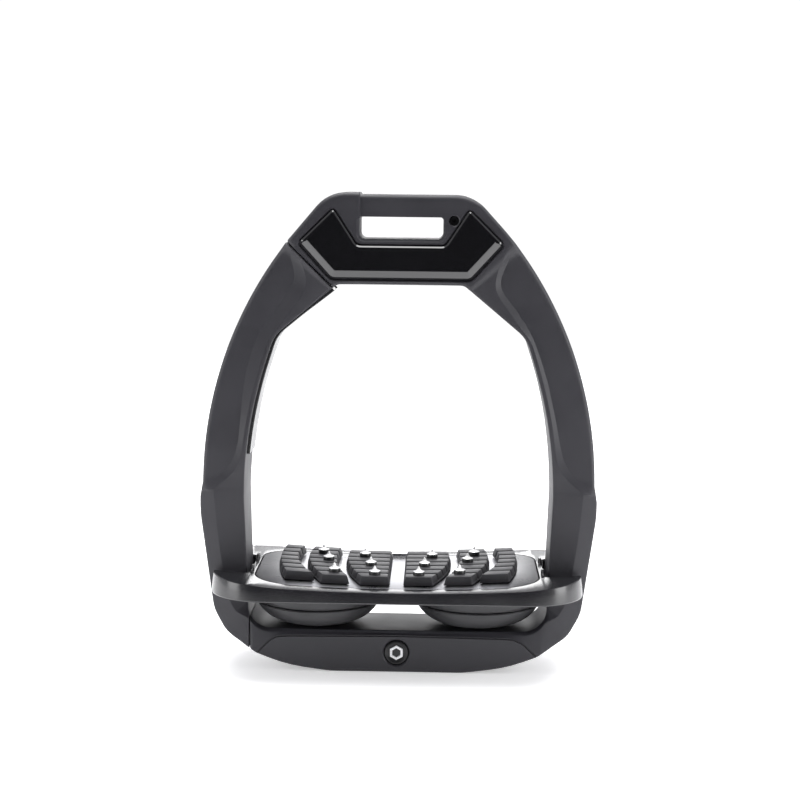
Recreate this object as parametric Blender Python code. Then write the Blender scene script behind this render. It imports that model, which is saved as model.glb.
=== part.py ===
"""Safety stirrup iron: composite frame with an outward-opening arm and a damped, studded tread.

Metres, +Z up, +X across the foot, front of the foot towards -Y.
The origin is the middle of the flat under the base.
"""
import math

import bmesh
import bpy
from mathutils import Matrix, Vector

for old in list(bpy.data.objects):
    bpy.data.objects.remove(old)

MM = 0.001

# Overall sizes
HEIGHT = 185.6 * MM            # flat under the base to the top of the leather bar
INSIDE_HALF = 59.6 * MM        # half the widest inside width of the foot opening
ARM_WIDTH = 16.0 * MM          # arm, across, at its widest height
ARM_TOP_WIDTH = 17.1 * MM      # arm, measured level, where the brace starts
BASE_DEPTH = 31.0 * MM         # base and lower arms, front to back
HOUSING_DEPTH = 25.0 * MM      # top housing, front to back
BASE_TOP_Z = 16.6 * MM         # flat top of the base
EDGE_ROUND = 1.0 * MM          # rounding of the frame's long edges
GAP = 0.3 * MM                 # between pieces that touch
RUNNING = 0.3 * MM             # radial clearance of turning and sliding fits
WELD = 0.002 * MM              # points closer than this are one point

# Arms and base outline, the base's points as (inset from the arm's outside, height)
WIDEST_Z = 68.0 * MM           # height where the foot opening is widest
OPENING_DRAFT = 1.8 * MM       # how much narrower the opening is on each side at the base
OPENING_CORNER = 9.0 * MM
SKIRT_STEP = 1.0 * MM          # how far the lower arm stands out past the upper arm
SKIRT_RISE = 6.0 * MM          # height over which that step runs out
BASE_FLAT_HALF = 12.0 * MM     # flat that the stirrup stands on
BASE_KEEL = (43.6 * MM, 1.9 * MM)
BASE_CORNER = (23.4 * MM, 6.4 * MM)
BASE_SHOULDER = (4.7 * MM, 23.0 * MM)

# Top housing: half widths are measured on from the end of the leather slot, heights down from HEIGHT
EYE_HALF = 16.0 * MM           # half the length of the leather slot
EYE_TOP_DROP = 9.2 * MM
EYE_BOTTOM_DROP = 17.6 * MM
EYE_RADIUS = 2.0 * MM
BAR_SETBACK = 1.0 * MM         # the leather bar is thinner than the housing by this on each face
SHOULDER = (27.2 * MM, 18.3 * MM)
SHOULDER_SLOPE = 0.84          # sideways run of the shoulder for each unit of rise
UNDERSIDE = (6.6 * MM, 35.0 * MM)
BRACE_SLOPE = 0.749            # fall of the underside's brace for each unit sideways
BRACE_DROP = 20.0 * MM         # from the underside down to where ARM_TOP_WIDTH is measured
BRACE_RADIUS = 10.0 * MM

# Inlays, outlined on the right half by (distance from the slot's end, drop, corner radius)
INLAY_THICK = 2.4 * MM
INLAY_PROUD = 0.9 * MM
INLAY_CLEAR = 0.4 * MM
INLAY_EDGE = 0.5 * MM
INLAY_CORNERS = (
    (9.9 * MM, 6.3 * MM, 1.2 * MM),
    (22.6 * MM, 18.8 * MM, 1.5 * MM),
    (10.4 * MM, 32.2 * MM, 3.0 * MM),
)
INLAY_VALLEY = (0.9 * MM, 20.1 * MM, 3.0 * MM)
EYE_SCREW = (4.0 * MM, 10.4 * MM)
EYE_SCREW_R = 1.6 * MM
EYE_SCREW_LENGTH = 3.6 * MM

# Release arm: its top seam by two (distance past the slot's end, drop) points, its hinge and its latch
SEAM_TOP = (27.1 * MM, 19.5 * MM)
SEAM_END = (9.1 * MM, 37.1 * MM)
SEAM_GAP = 0.5 * MM
SEAM_INSET = 2.4 * MM          # lower seam, in from the widest inside width
SEAM_RELIEF = 0.9 * MM         # extra room at the foot of the lower seam
PIN_R = 1.5 * MM
BUSH_WALL = 0.8 * MM
PIN_COVER = 2.6 * MM           # frame left in front of the blind end of the pin's bore
KNUCKLE_WALL = 2.0 * MM
KNUCKLE_SETBACK = 1.9 * MM     # knuckle in from the lower seam
FORK_ROOF = 1.3 * MM           # base left over the fork
FORK_CLEAR = 0.5 * MM          # round the knuckle, in the fork
TONGUE_HALF = 4.5 * MM
SPRING_WIRE = 0.8 * MM
SPRING_PITCH = 1.05 * MM
SPRING_TURNS = 3
SPRING_LEG = 3.0 * MM
MAGNET_R = 4.0 * MM
MAGNET_THICK = 3.0 * MM
LATCH_SCREW_R = 1.1 * MM
LATCH_SCREW_LENGTH = 8.0 * MM
LATCH_HEAD = 1.9 * MM          # radius and depth of the latch screws' heads
LINER_THICK = 1.1 * MM
LINER_RISE = 18.0 * MM         # lower end of the liner above the widest height
LINER_MARGIN = 2.0 * MM

# Dampers and their bolts
DAMPER_HEIGHT = 15.8 * MM      # base top to the underside of the tray
DAMPER_SIDE_GAP = 3.6 * MM     # bowl to arm
DAMPER_MIDDLE_GAP = 14.0 * MM  # bowl to bowl
DAMPER_FOOT_R = 6.2 * MM
CUP_HEIGHT = 6.3 * MM          # hard upper part of each damper
BOLT_R = 2.5 * MM
BOLT_HEAD_R = 4.2 * MM
BOLT_HEAD = 3.5 * MM
BOLT_SOCKET_R = 1.8 * MM
BOLT_SOCKET = 2.0 * MM
BOLT_REACH = 0.8 * MM          # bolt up into the tray
BOLT_LAND = 7.1 * MM           # base left over the bolts' counterbores
WASHER = 0.9 * MM

# Tread
TREAD_INSET = 4.1 * MM         # tray's end in from the arm's outside
TREAD_DEPTH = 78.0 * MM
TREAD_CORNER = 22.0 * MM
TRAY_THICK = 4.4 * MM
TRAY_FLOOR = 1.6 * MM
DISH = 3.4 * MM                # rise of the tread's ends over its middle
NOTCH_CLEAR = 1.3 * MM
RIM_END = 16.9 * MM            # rim left past the insert at each end
RIM_SIDE = 8.0 * MM            # rim left in front of and behind the insert
GRIP_CORNER = 15.0 * MM
INSERT_SCREW = (14.0 * MM, 6.0 * MM)   # across from the middle, and in from the insert's long edge
INSERT_SCREW_R = 1.1 * MM
INSERT_SCREW_HEAD = (2.4 * MM, 1.4 * MM)
CLIP = (3.0 * MM, 4.0 * MM, 0.9 * MM)  # half width, reach over the rim, thickness
PAD_RISE = 3.1 * MM
PAD_SKIN = 0.9 * MM
PAD_BULGE = 0.355              # where the pads' curved sides stand furthest out, as a share of the half depth
RIBS = 7
RIB_GAP = 1.6 * MM
RIB_DRAFT = 0.5 * MM
STUD_R = 2.3 * MM
STUD_RISE = 3.4 * MM
STUD_COLLAR = 1.3 * MM
STUD_SHANK_R = 0.9 * MM
# Each pad: inner and outer side at their furthest and its two ends, as shares of the insert's half sizes,
# between them how strongly each side curves in.
PADS = (
    (0.048, 0.377, 0.0, 6.0, -0.855, 0.694),
    (0.440, 0.659, 4.6, 6.2, -0.839, 0.806),
    (0.722, 0.853, 5.4, 4.5, -0.661, 0.823),
)
# Studs of the two wider pads, as shares of the insert's half sizes.
STUDS = (
    ((0.245, 0.323), (0.192, -0.210), (0.154, -0.735)),
    ((0.553, 0.432), (0.502, 0.019), (0.440, -0.655)),
)

# Cap in the front of the base
CAP_R = 4.7 * MM
CAP_THICK = 2.2 * MM
CAP_DROP = 8.7 * MM            # its centre below the base top

BLACK = (0.035, 0.035, 0.040)


# ---------------------------------------------------------------- helpers

def paint(name, colour, roughness, metallic=0.0):
    material = bpy.data.materials.get(name) or bpy.data.materials.new(name)
    material.use_nodes = True
    shader = material.node_tree.nodes["Principled BSDF"]
    shader.inputs["Base Color"].default_value = (*colour, 1.0)
    shader.inputs["Roughness"].default_value = roughness
    shader.inputs["Metallic"].default_value = metallic
    return material


ROUND = 32                     # sides of the larger round pieces
COMPOSITE = ("composite", BLACK, 0.5)
PIANO = ("gloss_inlay", (0.008, 0.008, 0.010), 0.08)
STEEL = ("steel", (0.55, 0.55, 0.56), 0.3, 1.0)
RUBBER = ("rubber", (0.03, 0.03, 0.033), 0.75)
ELASTOMER = ("elastomer", (0.045, 0.045, 0.048), 0.6)
SATIN = ("satin_alloy", (0.06, 0.06, 0.065), 0.3, 1.0)
LINER = ("liner", (0.02, 0.02, 0.022), 0.4)


def rounded(corners, step=math.radians(12)):
    """A closed outline of (x, y, radius) corners with each corner turned into an arc."""
    points = []
    for i, (x, y, radius) in enumerate(corners):
        here = Vector((x, y))
        back = (Vector(corners[i - 1][:2]) - here).normalized()
        ahead = (Vector(corners[(i + 1) % len(corners)][:2]) - here).normalized()
        half = back.angle(ahead) / 2
        turn = math.pi - 2 * half
        if radius == 0 or turn < 1e-4:
            points.append(here)
            continue
        middle = here + (back + ahead).normalized() * (radius / math.sin(half))
        start = here + back * (radius / math.tan(half)) - middle
        sign = 1 if back.cross(ahead) < 0 else -1
        count = max(1, round(turn / step))
        for k in range(count + 1):
            points.append(middle + Matrix.Rotation(sign * turn * k / count, 2) @ start)
    return [(p.x, p.y) for p in points]


def grown(outline, amount):
    """The outline moved outwards by an amount, or inwards where it is negative."""
    points = [Vector(p) for p in outline]
    area = sum(a.cross(b) for a, b in zip(points, points[1:] + points[:1]))
    out = []
    for i, p in enumerate(points):
        back = (p - points[i - 1]).normalized()
        ahead = (points[(i + 1) % len(points)] - p).normalized()
        side = Vector((back.y + ahead.y, -back.x - ahead.x)).normalized()
        reach = amount / max(0.5, side.dot(Vector((back.y, -back.x))))
        out.append(tuple(p + side * math.copysign(reach, area * amount)))
    return out


def box_corners(half_x, half_y, radius, x=0.0, y=0.0):
    signs = ((-1, -1), (1, -1), (1, 1), (-1, 1))
    return [(x + sx * half_x, y + sy * half_y, radius) for sx, sy in signs]


def new_object(name, bm, finish):
    """Turns a bmesh into a named object whose faces point outwards."""
    bmesh.ops.remove_doubles(bm, verts=bm.verts, dist=WELD)
    bmesh.ops.recalc_face_normals(bm, faces=bm.faces)
    mesh = bpy.data.meshes.new(name)
    bm.to_mesh(mesh)
    bm.free()
    obj = bpy.data.objects.new(name, mesh)
    bpy.context.scene.collection.objects.link(obj)
    obj.data.materials.append(paint(*finish))
    return obj


def extruded(outline, low, high, upright):
    """A prism: in XZ between two Y values when upright, else in XY between two Z values."""
    bm = bmesh.new()
    if upright:
        ring = [bm.verts.new((x, low, z)) for x, z in outline]
    else:
        ring = [bm.verts.new((x, y, low)) for x, y in outline]
    face = bm.faces.new(ring)
    moved = bmesh.ops.extrude_face_region(bm, geom=[face])["geom"]
    push = Vector((0, high - low, 0)) if upright else Vector((0, 0, high - low))
    tops = [v for v in moved if isinstance(v, bmesh.types.BMVert)]
    bmesh.ops.translate(bm, verts=tops, vec=push)
    return bm


def turned(profile, segments=24):
    """A round solid about Z from (radius, z) points running once round the section."""
    bm = bmesh.new()
    ring = [bm.verts.new((r, 0, z)) for r, z in profile]
    closed = profile[0][0] > 0
    edges = [bm.edges.new(pair) for pair in zip(ring, ring[1:] + ring[:1])][:None if closed else -1]
    bmesh.ops.spin(bm, geom=ring + edges, axis=(0, 0, 1), cent=(0, 0, 0), steps=segments,
                   angle=math.tau, use_merge=True)
    bmesh.ops.remove_doubles(bm, verts=bm.verts, dist=WELD)
    return bm


def placed(bm, at, axis=Vector((0, 0, 1))):
    turn = Vector((0, 0, 1)).rotation_difference(axis).to_matrix().to_4x4()
    bmesh.ops.transform(bm, matrix=Matrix.Translation(at) @ turn, verts=bm.verts)
    return bm


def rod(radius, low, high, at=(0, 0, 0), axis=Vector((0, 0, 1)), segments=20):
    """A plain cylinder running from low to high along an axis through a point."""
    return placed(turned([(0, low), (radius, low), (radius, high), (0, high)], segments), at, axis)


def block(low, high):
    bm = bmesh.new()
    bmesh.ops.create_cube(bm, size=1)
    size = Vector(high) - Vector(low)
    middle = (Vector(high) + Vector(low)) / 2
    bmesh.ops.transform(bm, matrix=Matrix.Translation(middle) @ Matrix.Diagonal((*size, 1)), verts=bm.verts)
    return bm


def settle(obj, change=None):
    """Applies an object's modifiers, then lets a function reshape the mesh."""
    bpy.context.view_layer.update()
    bm = bmesh.new()
    bm.from_object(obj, bpy.context.evaluated_depsgraph_get())
    bmesh.ops.remove_doubles(bm, verts=bm.verts, dist=WELD)
    bmesh.ops.dissolve_degenerate(bm, edges=bm.edges, dist=WELD)
    if change:
        change(bm)
    obj.modifiers.clear()
    bm.to_mesh(obj.data)
    bm.free()
    return obj


def combine(obj, bm, operation):
    """Cuts, joins or crosses an object with a guide solid, and welds the result."""
    guide = new_object("guide", bm, COMPOSITE)
    modifier = obj.modifiers.new(operation.lower(), 'BOOLEAN')
    modifier.operation = operation
    modifier.solver = 'EXACT'
    modifier.object = guide
    settle(obj)
    bpy.data.objects.remove(guide)
    return obj


def slice_along(bm, axis, places):
    for place in places:
        geometry = bm.verts[:] + bm.edges[:] + bm.faces[:]
        bmesh.ops.bisect_plane(bm, geom=geometry, plane_co=axis * place, plane_no=axis, dist=WELD)


def shade_round(obj, degrees=35):
    obj.data.shade_smooth()
    obj.data.set_sharp_from_angle(angle=math.radians(degrees))
    return obj


# ---------------------------------------------------------------- frame

UP = Vector((0, 0, 1))
FORWARD = Vector((0, -1, 0))
OUTER_HALF = INSIDE_HALF + ARM_WIDTH
SHOULDER_HALF = EYE_HALF + SHOULDER[0]
SHOULDER_Z = HEIGHT - SHOULDER[1]
UNDERSIDE_HALF = EYE_HALF + UNDERSIDE[0]
UNDERSIDE_Z = HEIGHT - UNDERSIDE[1]
TAPER_Z = (WIDEST_Z + SKIRT_RISE, UNDERSIDE_Z)
SEAM_X = SEAM_INSET - INSIDE_HALF
KNUCKLE_R = PIN_R + RUNNING + KNUCKLE_WALL
HINGE_Z = BASE_TOP_Z - FORK_ROOF - FORK_CLEAR - KNUCKLE_R
HINGE = Vector((SEAM_X + KNUCKLE_R + KNUCKLE_SETBACK, 0, HINGE_Z))
SPRING_LENGTH = SPRING_PITCH * SPRING_TURNS + SPRING_WIRE
FORK_HALF = TONGUE_HALF + SPRING_WIRE + SPRING_LENGTH
EYE_SCREW_AT = Vector((EYE_HALF + EYE_SCREW[0], -HOUSING_DEPTH / 2, HEIGHT - EYE_SCREW[1]))
CAP_AT = Vector((0, -BASE_DEPTH / 2, BASE_TOP_Z - CAP_DROP))
DAMPER_R = (INSIDE_HALF - DAMPER_SIDE_GAP - DAMPER_MIDDLE_GAP / 2) / 2
DAMPER_X = DAMPER_MIDDLE_GAP / 2 + DAMPER_R
SEAT_Z = BASE_TOP_Z - BOLT_LAND
TRAY_BOTTOM_Z = BASE_TOP_Z + DAMPER_HEIGHT
TRAY_TOP_Z = TRAY_BOTTOM_Z + TRAY_THICK
POCKET_Z = TRAY_BOTTOM_Z + TRAY_FLOOR
TREAD_HALF = OUTER_HALF - TREAD_INSET
GRIP_HALF = TREAD_HALF - RIM_END
GRIP_SIDE = TREAD_DEPTH / 2 - RIM_SIDE


def arc_reach(start, rise, run, z):
    """Half width at height z of an arc that leaves upright at start and comes in by run over rise."""
    radius = (rise ** 2 + run ** 2) / (2 * run)
    return start[0] - radius + math.sqrt(radius ** 2 - (z - start[1]) ** 2)


def outer_reach(z):
    start = (OUTER_HALF, WIDEST_Z + SKIRT_RISE)
    return arc_reach(start, SHOULDER_Z - start[1], OUTER_HALF - SHOULDER_HALF, z)


def outer_profile():
    """Right half of the frame's outside, from the base flat up to the top, as corners."""
    skirt = OUTER_HALF + SKIRT_STEP
    corners = [(BASE_FLAT_HALF, 0, 0)]
    for (inset, z), radius in ((BASE_KEEL, 80 * MM), (BASE_CORNER, 10 * MM), (BASE_SHOULDER, 14 * MM)):
        corners.append((OUTER_HALF - inset, z, radius))
    corners.append((skirt, WIDEST_Z - SKIRT_RISE, 40 * MM))
    corners.append((skirt, WIDEST_Z, 2 * MM))
    steps = 14
    low = WIDEST_Z + SKIRT_RISE
    for k in range(steps + 1):
        z = low + (SHOULDER_Z - low) * k / steps
        corners.append((outer_reach(z), z, 0))
    corners.append((SHOULDER_HALF - SHOULDER[1] * SHOULDER_SLOPE, HEIGHT, 15 * MM))
    return corners


def inner_profile():
    """Right half of the foot opening, from the base top up to the housing's underside."""
    brace_z = UNDERSIDE_Z - BRACE_DROP
    run = INSIDE_HALF - outer_reach(brace_z) + ARM_TOP_WIDTH
    corners = [(INSIDE_HALF - OPENING_DRAFT, BASE_TOP_Z, OPENING_CORNER), (INSIDE_HALF, WIDEST_Z, 0)]
    steps = 12
    for k in range(1, steps):
        z = WIDEST_Z + (brace_z - WIDEST_Z) * k / steps
        reach = arc_reach((INSIDE_HALF, WIDEST_Z), brace_z - WIDEST_Z, run, z)
        if z > UNDERSIDE_Z - BRACE_SLOPE * (reach - UNDERSIDE_HALF) - 2 * MM:
            break
        corners.append((reach, z, 0))
    meet_x, meet_z = corners.pop()[:2]
    slack = UNDERSIDE_Z - BRACE_SLOPE * (meet_x - UNDERSIDE_HALF) - meet_z
    corners.append((meet_x - slack / 2, meet_z + slack * (1 - BRACE_SLOPE / 2), BRACE_RADIUS))
    corners.append((UNDERSIDE_HALF, UNDERSIDE_Z, 4 * MM))
    return corners


def both_sides(corners):
    return corners + [(-x, z, r) for x, z, r in reversed(corners)]


def taper_depth(bm):
    """Thins the upper arms evenly from the base's depth to the housing's."""
    slice_along(bm, UP, TAPER_Z)
    for v in bm.verts:
        share = (v.co.z - TAPER_Z[0]) / (TAPER_Z[1] - TAPER_Z[0])
        share = min(max(share, 0.0), 1.0)
        v.co.y *= 1 + share * (HOUSING_DEPTH / BASE_DEPTH - 1)


def whole_ring(name):
    half = BASE_DEPTH / 2
    ring = new_object(name, extruded(rounded(both_sides(outer_profile())), -half, half, True), COMPOSITE)
    combine(ring, extruded(rounded(both_sides(inner_profile())), -BASE_DEPTH, BASE_DEPTH, True), 'DIFFERENCE')
    settle(ring)
    soften = ring.modifiers.new("edges", 'BEVEL')
    soften.width = EDGE_ROUND
    soften.segments = 1
    soften.limit_method = 'ANGLE'
    soften.angle_limit = math.radians(60)
    return settle(ring, taper_depth)


def seam_points():
    """Both ends of the top seam, the way it runs and the way the release arm lies from it, in XZ."""
    top = Vector((-EYE_HALF - SEAM_TOP[0], HEIGHT - SEAM_TOP[1]))
    end = Vector((-EYE_HALF - SEAM_END[0], HEIGHT - SEAM_END[1]))
    along = (end - top).normalized()
    return top, end, along, Vector((along.y, -along.x))


def arm_region(shrink):
    """The part of the ring that opens, as a prism moved away from the seams by half a gap."""
    top, end, along, outward = seam_points()
    first = end + along * 12 * MM + outward * shrink
    last = top - along * 20 * MM + outward * shrink
    x = SEAM_X - shrink * GAP / SEAM_GAP
    far = -OUTER_HALF * 1.5
    shape = [(x - SEAM_RELIEF, -5 * MM), (x - SEAM_RELIEF, HINGE.z - 3 * MM), (x, HINGE.z + 1 * MM)]
    if shrink < 0:
        shape = [(x, -5 * MM)]
    shape += [(x, BASE_TOP_Z + 14 * MM), (14 * MM - INSIDE_HALF, WIDEST_Z), (first.x, first.y)]
    shape += [(last.x, last.y), (far, HEIGHT), (far, -5 * MM)]
    return extruded(shape, -BASE_DEPTH, BASE_DEPTH, True)


def inlay_outline(grow):
    corners = [(EYE_HALF + x, HEIGHT - drop, r) for x, drop, r in INLAY_CORNERS]
    valley = (EYE_HALF + INLAY_VALLEY[0], HEIGHT - INLAY_VALLEY[1], INLAY_VALLEY[2])
    outline = corners + [(-x, z, r) for x, z, r in reversed(corners)]
    outline += [(-valley[0], *valley[1:]), valley]
    return grown(rounded(outline), grow)


def latch_centre():
    top, end, along, outward = seam_points()
    middle = (top + end) / 2
    return Vector((middle.x, 0, middle.y)), Vector((outward.x, 0, outward.y))


def make_frame():
    frame = whole_ring("main_frame")
    combine(frame, arm_region(-SEAM_GAP / 2), 'DIFFERENCE')
    # leather slot, its bar a little thinner than the housing
    bar_z = HEIGHT - EYE_TOP_DROP
    middle = HEIGHT - (EYE_TOP_DROP + EYE_BOTTOM_DROP) / 2
    eye = rounded(box_corners(EYE_HALF, bar_z - middle, EYE_RADIUS, 0, middle), math.radians(30))
    combine(frame, extruded(eye, -BASE_DEPTH, BASE_DEPTH, True), 'DIFFERENCE')
    for side in (-1, 1):
        face = side * HOUSING_DEPTH / 2
        low, high = sorted((face - side * BAR_SETBACK, face * 2))
        combine(frame, block((-EYE_HALF, low, bar_z - MM), (EYE_HALF, high, HEIGHT + MM)), 'DIFFERENCE')
        low, high = sorted((face - side * (INLAY_THICK - INLAY_PROUD + GAP), face * 2))
        combine(frame, extruded(inlay_outline(INLAY_CLEAR), low, high, True), 'DIFFERENCE')
    combine(frame, rod(EYE_SCREW_R + GAP, -EYE_SCREW_LENGTH - GAP, MM, EYE_SCREW_AT, FORWARD), 'DIFFERENCE')
    # keeper pocket in the seam face
    centre, outward = latch_centre()
    combine(frame, rod(MAGNET_R + GAP, -MAGNET_THICK - SEAM_GAP, 2 * MM, centre, outward), 'DIFFERENCE')
    hole = -LATCH_SCREW_LENGTH - SEAM_GAP - GAP
    combine(frame, rod(LATCH_SCREW_R + GAP, hole, 0, centre, outward, 16), 'DIFFERENCE')
    # hinge fork, bushes and the pin's blind bore
    low = (SEAM_X - 2 * MM, -FORK_HALF, -MM)
    high = (HINGE.x + KNUCKLE_R + FORK_CLEAR, FORK_HALF, HINGE.z + KNUCKLE_R + FORK_CLEAR)
    combine(frame, block(low, high), 'DIFFERENCE')
    bore = PIN_R + RUNNING + BUSH_WALL + GAP
    combine(frame, rod(bore, -BASE_DEPTH, BASE_DEPTH / 2 - PIN_COVER, HINGE, FORWARD), 'DIFFERENCE')
    for side in (-1, 1):
        at = (side * DAMPER_X, 0, 0)
        combine(frame, rod(BOLT_HEAD_R + 0.5 * MM, -MM, SEAT_Z, at), 'DIFFERENCE')
        combine(frame, rod(BOLT_R + RUNNING, 0, BASE_TOP_Z + MM, at), 'DIFFERENCE')
    combine(frame, rod(CAP_R + GAP, -CAP_THICK - GAP, MM, CAP_AT, FORWARD), 'DIFFERENCE')
    return settle(frame)


def make_inlays():
    for name, side in (("inlay_front", -1), ("inlay_rear", 1)):
        outer = side * (HOUSING_DEPTH / 2 + INLAY_PROUD)
        inner = outer - side * INLAY_THICK
        inlay = new_object(name, extruded(inlay_outline(0), *sorted((inner, outer)), True), PIANO)
        edge = inlay.modifiers.new("edges", 'BEVEL')
        edge.width = INLAY_EDGE
        edge.segments = 1
        edge.limit_method = 'ANGLE'
        edge.angle_limit = math.radians(60)


def make_eye_screw():
    socket = EYE_SCREW_R / 2
    profile = [(0, -EYE_SCREW_LENGTH), (EYE_SCREW_R, -EYE_SCREW_LENGTH), (EYE_SCREW_R, -0.8 * MM)]
    profile += [(socket, -0.8 * MM), (socket, -1.8 * MM), (0, -1.8 * MM)]
    shade_round(new_object("eye_screw", placed(turned(profile, 20), EYE_SCREW_AT, FORWARD), STEEL))


def make_latch():
    """Magnet in the arm and steel keeper in the housing, each held by a countersunk screw."""
    centre, outward = latch_centre()
    face = SEAM_GAP / 2
    head_z = face + 0.2 * MM
    hole = LATCH_SCREW_R + GAP
    for part, name, direction in (("arm", "latch_magnet", outward), ("housing", "latch_keeper", -outward)):
        ring = [(hole, face + MAGNET_THICK), (hole, face + LATCH_HEAD)]
        ring += [(LATCH_HEAD + GAP, face), (MAGNET_R, face), (MAGNET_R, face + MAGNET_THICK)]
        shade_round(new_object(name, placed(turned(ring), centre, direction), STEEL))
        tip = face + LATCH_SCREW_LENGTH
        screw = [(0, head_z), (LATCH_HEAD - GAP, head_z), (LATCH_SCREW_R, face + LATCH_HEAD - 0.1 * MM)]
        screw += [(LATCH_SCREW_R, tip), (0, tip)]
        shade_round(new_object(part + "_latch_screw", placed(turned(screw, 20), centre, direction), STEEL))


def make_release_arm():
    arm = whole_ring("release_arm")
    combine(arm, arm_region(SEAM_GAP / 2), 'INTERSECT')
    low = (SEAM_X - 3 * MM, -TONGUE_HALF, HINGE.z)
    high = (HINGE.x, TONGUE_HALF, HINGE.z + KNUCKLE_R - 0.1 * MM)
    combine(arm, block(low, high), 'UNION')
    knuckle = TONGUE_HALF - 0.01 * MM
    combine(arm, rod(KNUCKLE_R, -knuckle, knuckle, HINGE, FORWARD, ROUND), 'UNION')
    combine(arm, rod(PIN_R + RUNNING, -BASE_DEPTH, BASE_DEPTH, HINGE, FORWARD), 'DIFFERENCE')
    centre, outward = latch_centre()
    floor = SEAM_GAP / 2 + MAGNET_THICK + GAP
    combine(arm, rod(MAGNET_R + GAP, -2 * MM, floor, centre, outward), 'DIFFERENCE')
    tip = SEAM_GAP / 2 + LATCH_SCREW_LENGTH + GAP
    combine(arm, rod(LATCH_SCREW_R + GAP, 0, tip, centre, outward, 16), 'DIFFERENCE')
    return settle(arm)


def make_liner():
    """Thin strip on the inner face of the release arm, from its top end down."""
    opening = rounded(both_sides(inner_profile()))
    half = HOUSING_DEPTH / 2 - LINER_MARGIN
    liner = new_object("arm_liner", extruded(grown(opening, -GAP), -half, half, True), LINER)
    hollow = grown(opening, -GAP - LINER_THICK)
    combine(liner, extruded(hollow, -BASE_DEPTH, BASE_DEPTH, True), 'DIFFERENCE')
    combine(liner, arm_region(SEAM_GAP / 2 + 1.5 * MM), 'INTERSECT')
    low = (-OUTER_HALF, -BASE_DEPTH, WIDEST_Z + LINER_RISE)
    combine(liner, block(low, (0, BASE_DEPTH, HEIGHT)), 'INTERSECT')


def make_hinge():
    """Pin through the fork, a bush in each cheek and a torsion spring beside the arm's tongue."""
    front = BASE_DEPTH / 2 - PIN_COVER - GAP
    rear = BASE_DEPTH / 2 - 0.8 * MM
    shade_round(new_object("hinge_pin", rod(PIN_R, -rear, front, HINGE, FORWARD), STEEL))
    inner = PIN_R + RUNNING
    outer = inner + BUSH_WALL
    low = FORK_HALF + 0.2 * MM
    for name, side, high in (("hinge_bush_front", 1, front), ("hinge_bush_rear", -1, rear)):
        ring = [(inner, side * low), (outer, side * low), (outer, side * high), (inner, side * high)]
        shade_round(new_object(name, placed(turned(ring, 24), HINGE, FORWARD), SATIN))
    for name, side in (("return_spring_front", -1), ("return_spring_rear", 1)):
        make_spring(name, side)


def make_spring(name, side):
    """Torsion spring round the hinge pin, one leg towards the base and one towards the arm."""
    radius = PIN_R + RUNNING + SPRING_WIRE
    start = TONGUE_HALF + SPRING_WIRE
    around = 10
    points = [(SPRING_LEG, start, radius)]
    for k in range(SPRING_TURNS * around + 1):
        angle = math.tau * k / around
        y = start + SPRING_PITCH * k / around
        points.append((-radius * math.sin(angle), y, radius * math.cos(angle)))
    points.append((-SPRING_LEG, start + SPRING_PITCH * SPRING_TURNS, radius))
    curve = bpy.data.curves.new(name, 'CURVE')
    curve.dimensions = '3D'
    spline = curve.splines.new('POLY')
    spline.points.add(len(points) - 1)
    for point, (x, y, z) in zip(spline.points, points):
        point.co = (HINGE.x + x, side * y, HINGE.z + z, 1)
    curve.bevel_depth = SPRING_WIRE / 2
    curve.bevel_resolution = 1
    curve.use_fill_caps = True
    obj = bpy.data.objects.new(name, curve)
    bpy.context.scene.collection.objects.link(obj)
    curve.materials.append(paint(*STEEL))


def make_cap():
    rim = CAP_R - 0.8 * MM
    profile = [(0, -CAP_THICK), (CAP_R, -CAP_THICK), (CAP_R, -0.5 * MM), (rim, 0.0)]
    profile += [(rim - 0.5 * MM, -0.4 * MM), (0, -0.4 * MM)]
    shade_round(new_object("base_cap", placed(turned(profile, ROUND), CAP_AT, FORWARD), RUBBER))


# ---------------------------------------------------------------- tread

def dished(bm):
    """Raises everything above the tray's underside towards the tread's ends."""
    slice_along(bm, Vector((1, 0, 0)), [TREAD_HALF * k / 8 for k in range(-7, 8)])
    for v in bm.verts:
        if v.co.z > TRAY_BOTTOM_Z + MM:
            v.co.z += DISH * (v.co.x / TREAD_HALF) ** 2


def insert_screw_places():
    x, inset = INSERT_SCREW
    return [(sx * x, sy * (GRIP_SIDE - inset)) for sx in (-1, 1) for sy in (-1, 1)]


def make_tray():
    outline = rounded(box_corners(TREAD_HALF, TREAD_DEPTH / 2, TREAD_CORNER))
    tray = new_object("tread_tray", extruded(outline, TRAY_BOTTOM_Z, TRAY_TOP_Z, False), SATIN)
    pocket = rounded(box_corners(GRIP_HALF + GAP, GRIP_SIDE + GAP, GRIP_CORNER + GAP))
    combine(tray, extruded(pocket, POCKET_Z, TRAY_TOP_Z + MM, False), 'DIFFERENCE')
    notch_x = INSIDE_HALF - OPENING_DRAFT - NOTCH_CLEAR / 2
    notch_y = BASE_DEPTH / 2 + NOTCH_CLEAR
    for side in (-1, 1):
        corners = box_corners(TREAD_HALF - notch_x + MM, notch_y, 2 * MM, side * (TREAD_HALF + MM))
        combine(tray, extruded(rounded(corners), 0, HEIGHT / 2, False), 'DIFFERENCE')
        bolt = rod(BOLT_R + RUNNING, 0, TRAY_BOTTOM_Z + BOLT_REACH + GAP, (side * DAMPER_X, 0, 0))
        combine(tray, bolt, 'DIFFERENCE')
    for x, y in insert_screw_places():
        combine(tray, rod(INSERT_SCREW_R + GAP, 0, TRAY_TOP_Z, (x, y, 0), segments=16), 'DIFFERENCE')
    settle(tray, dished)


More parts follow.
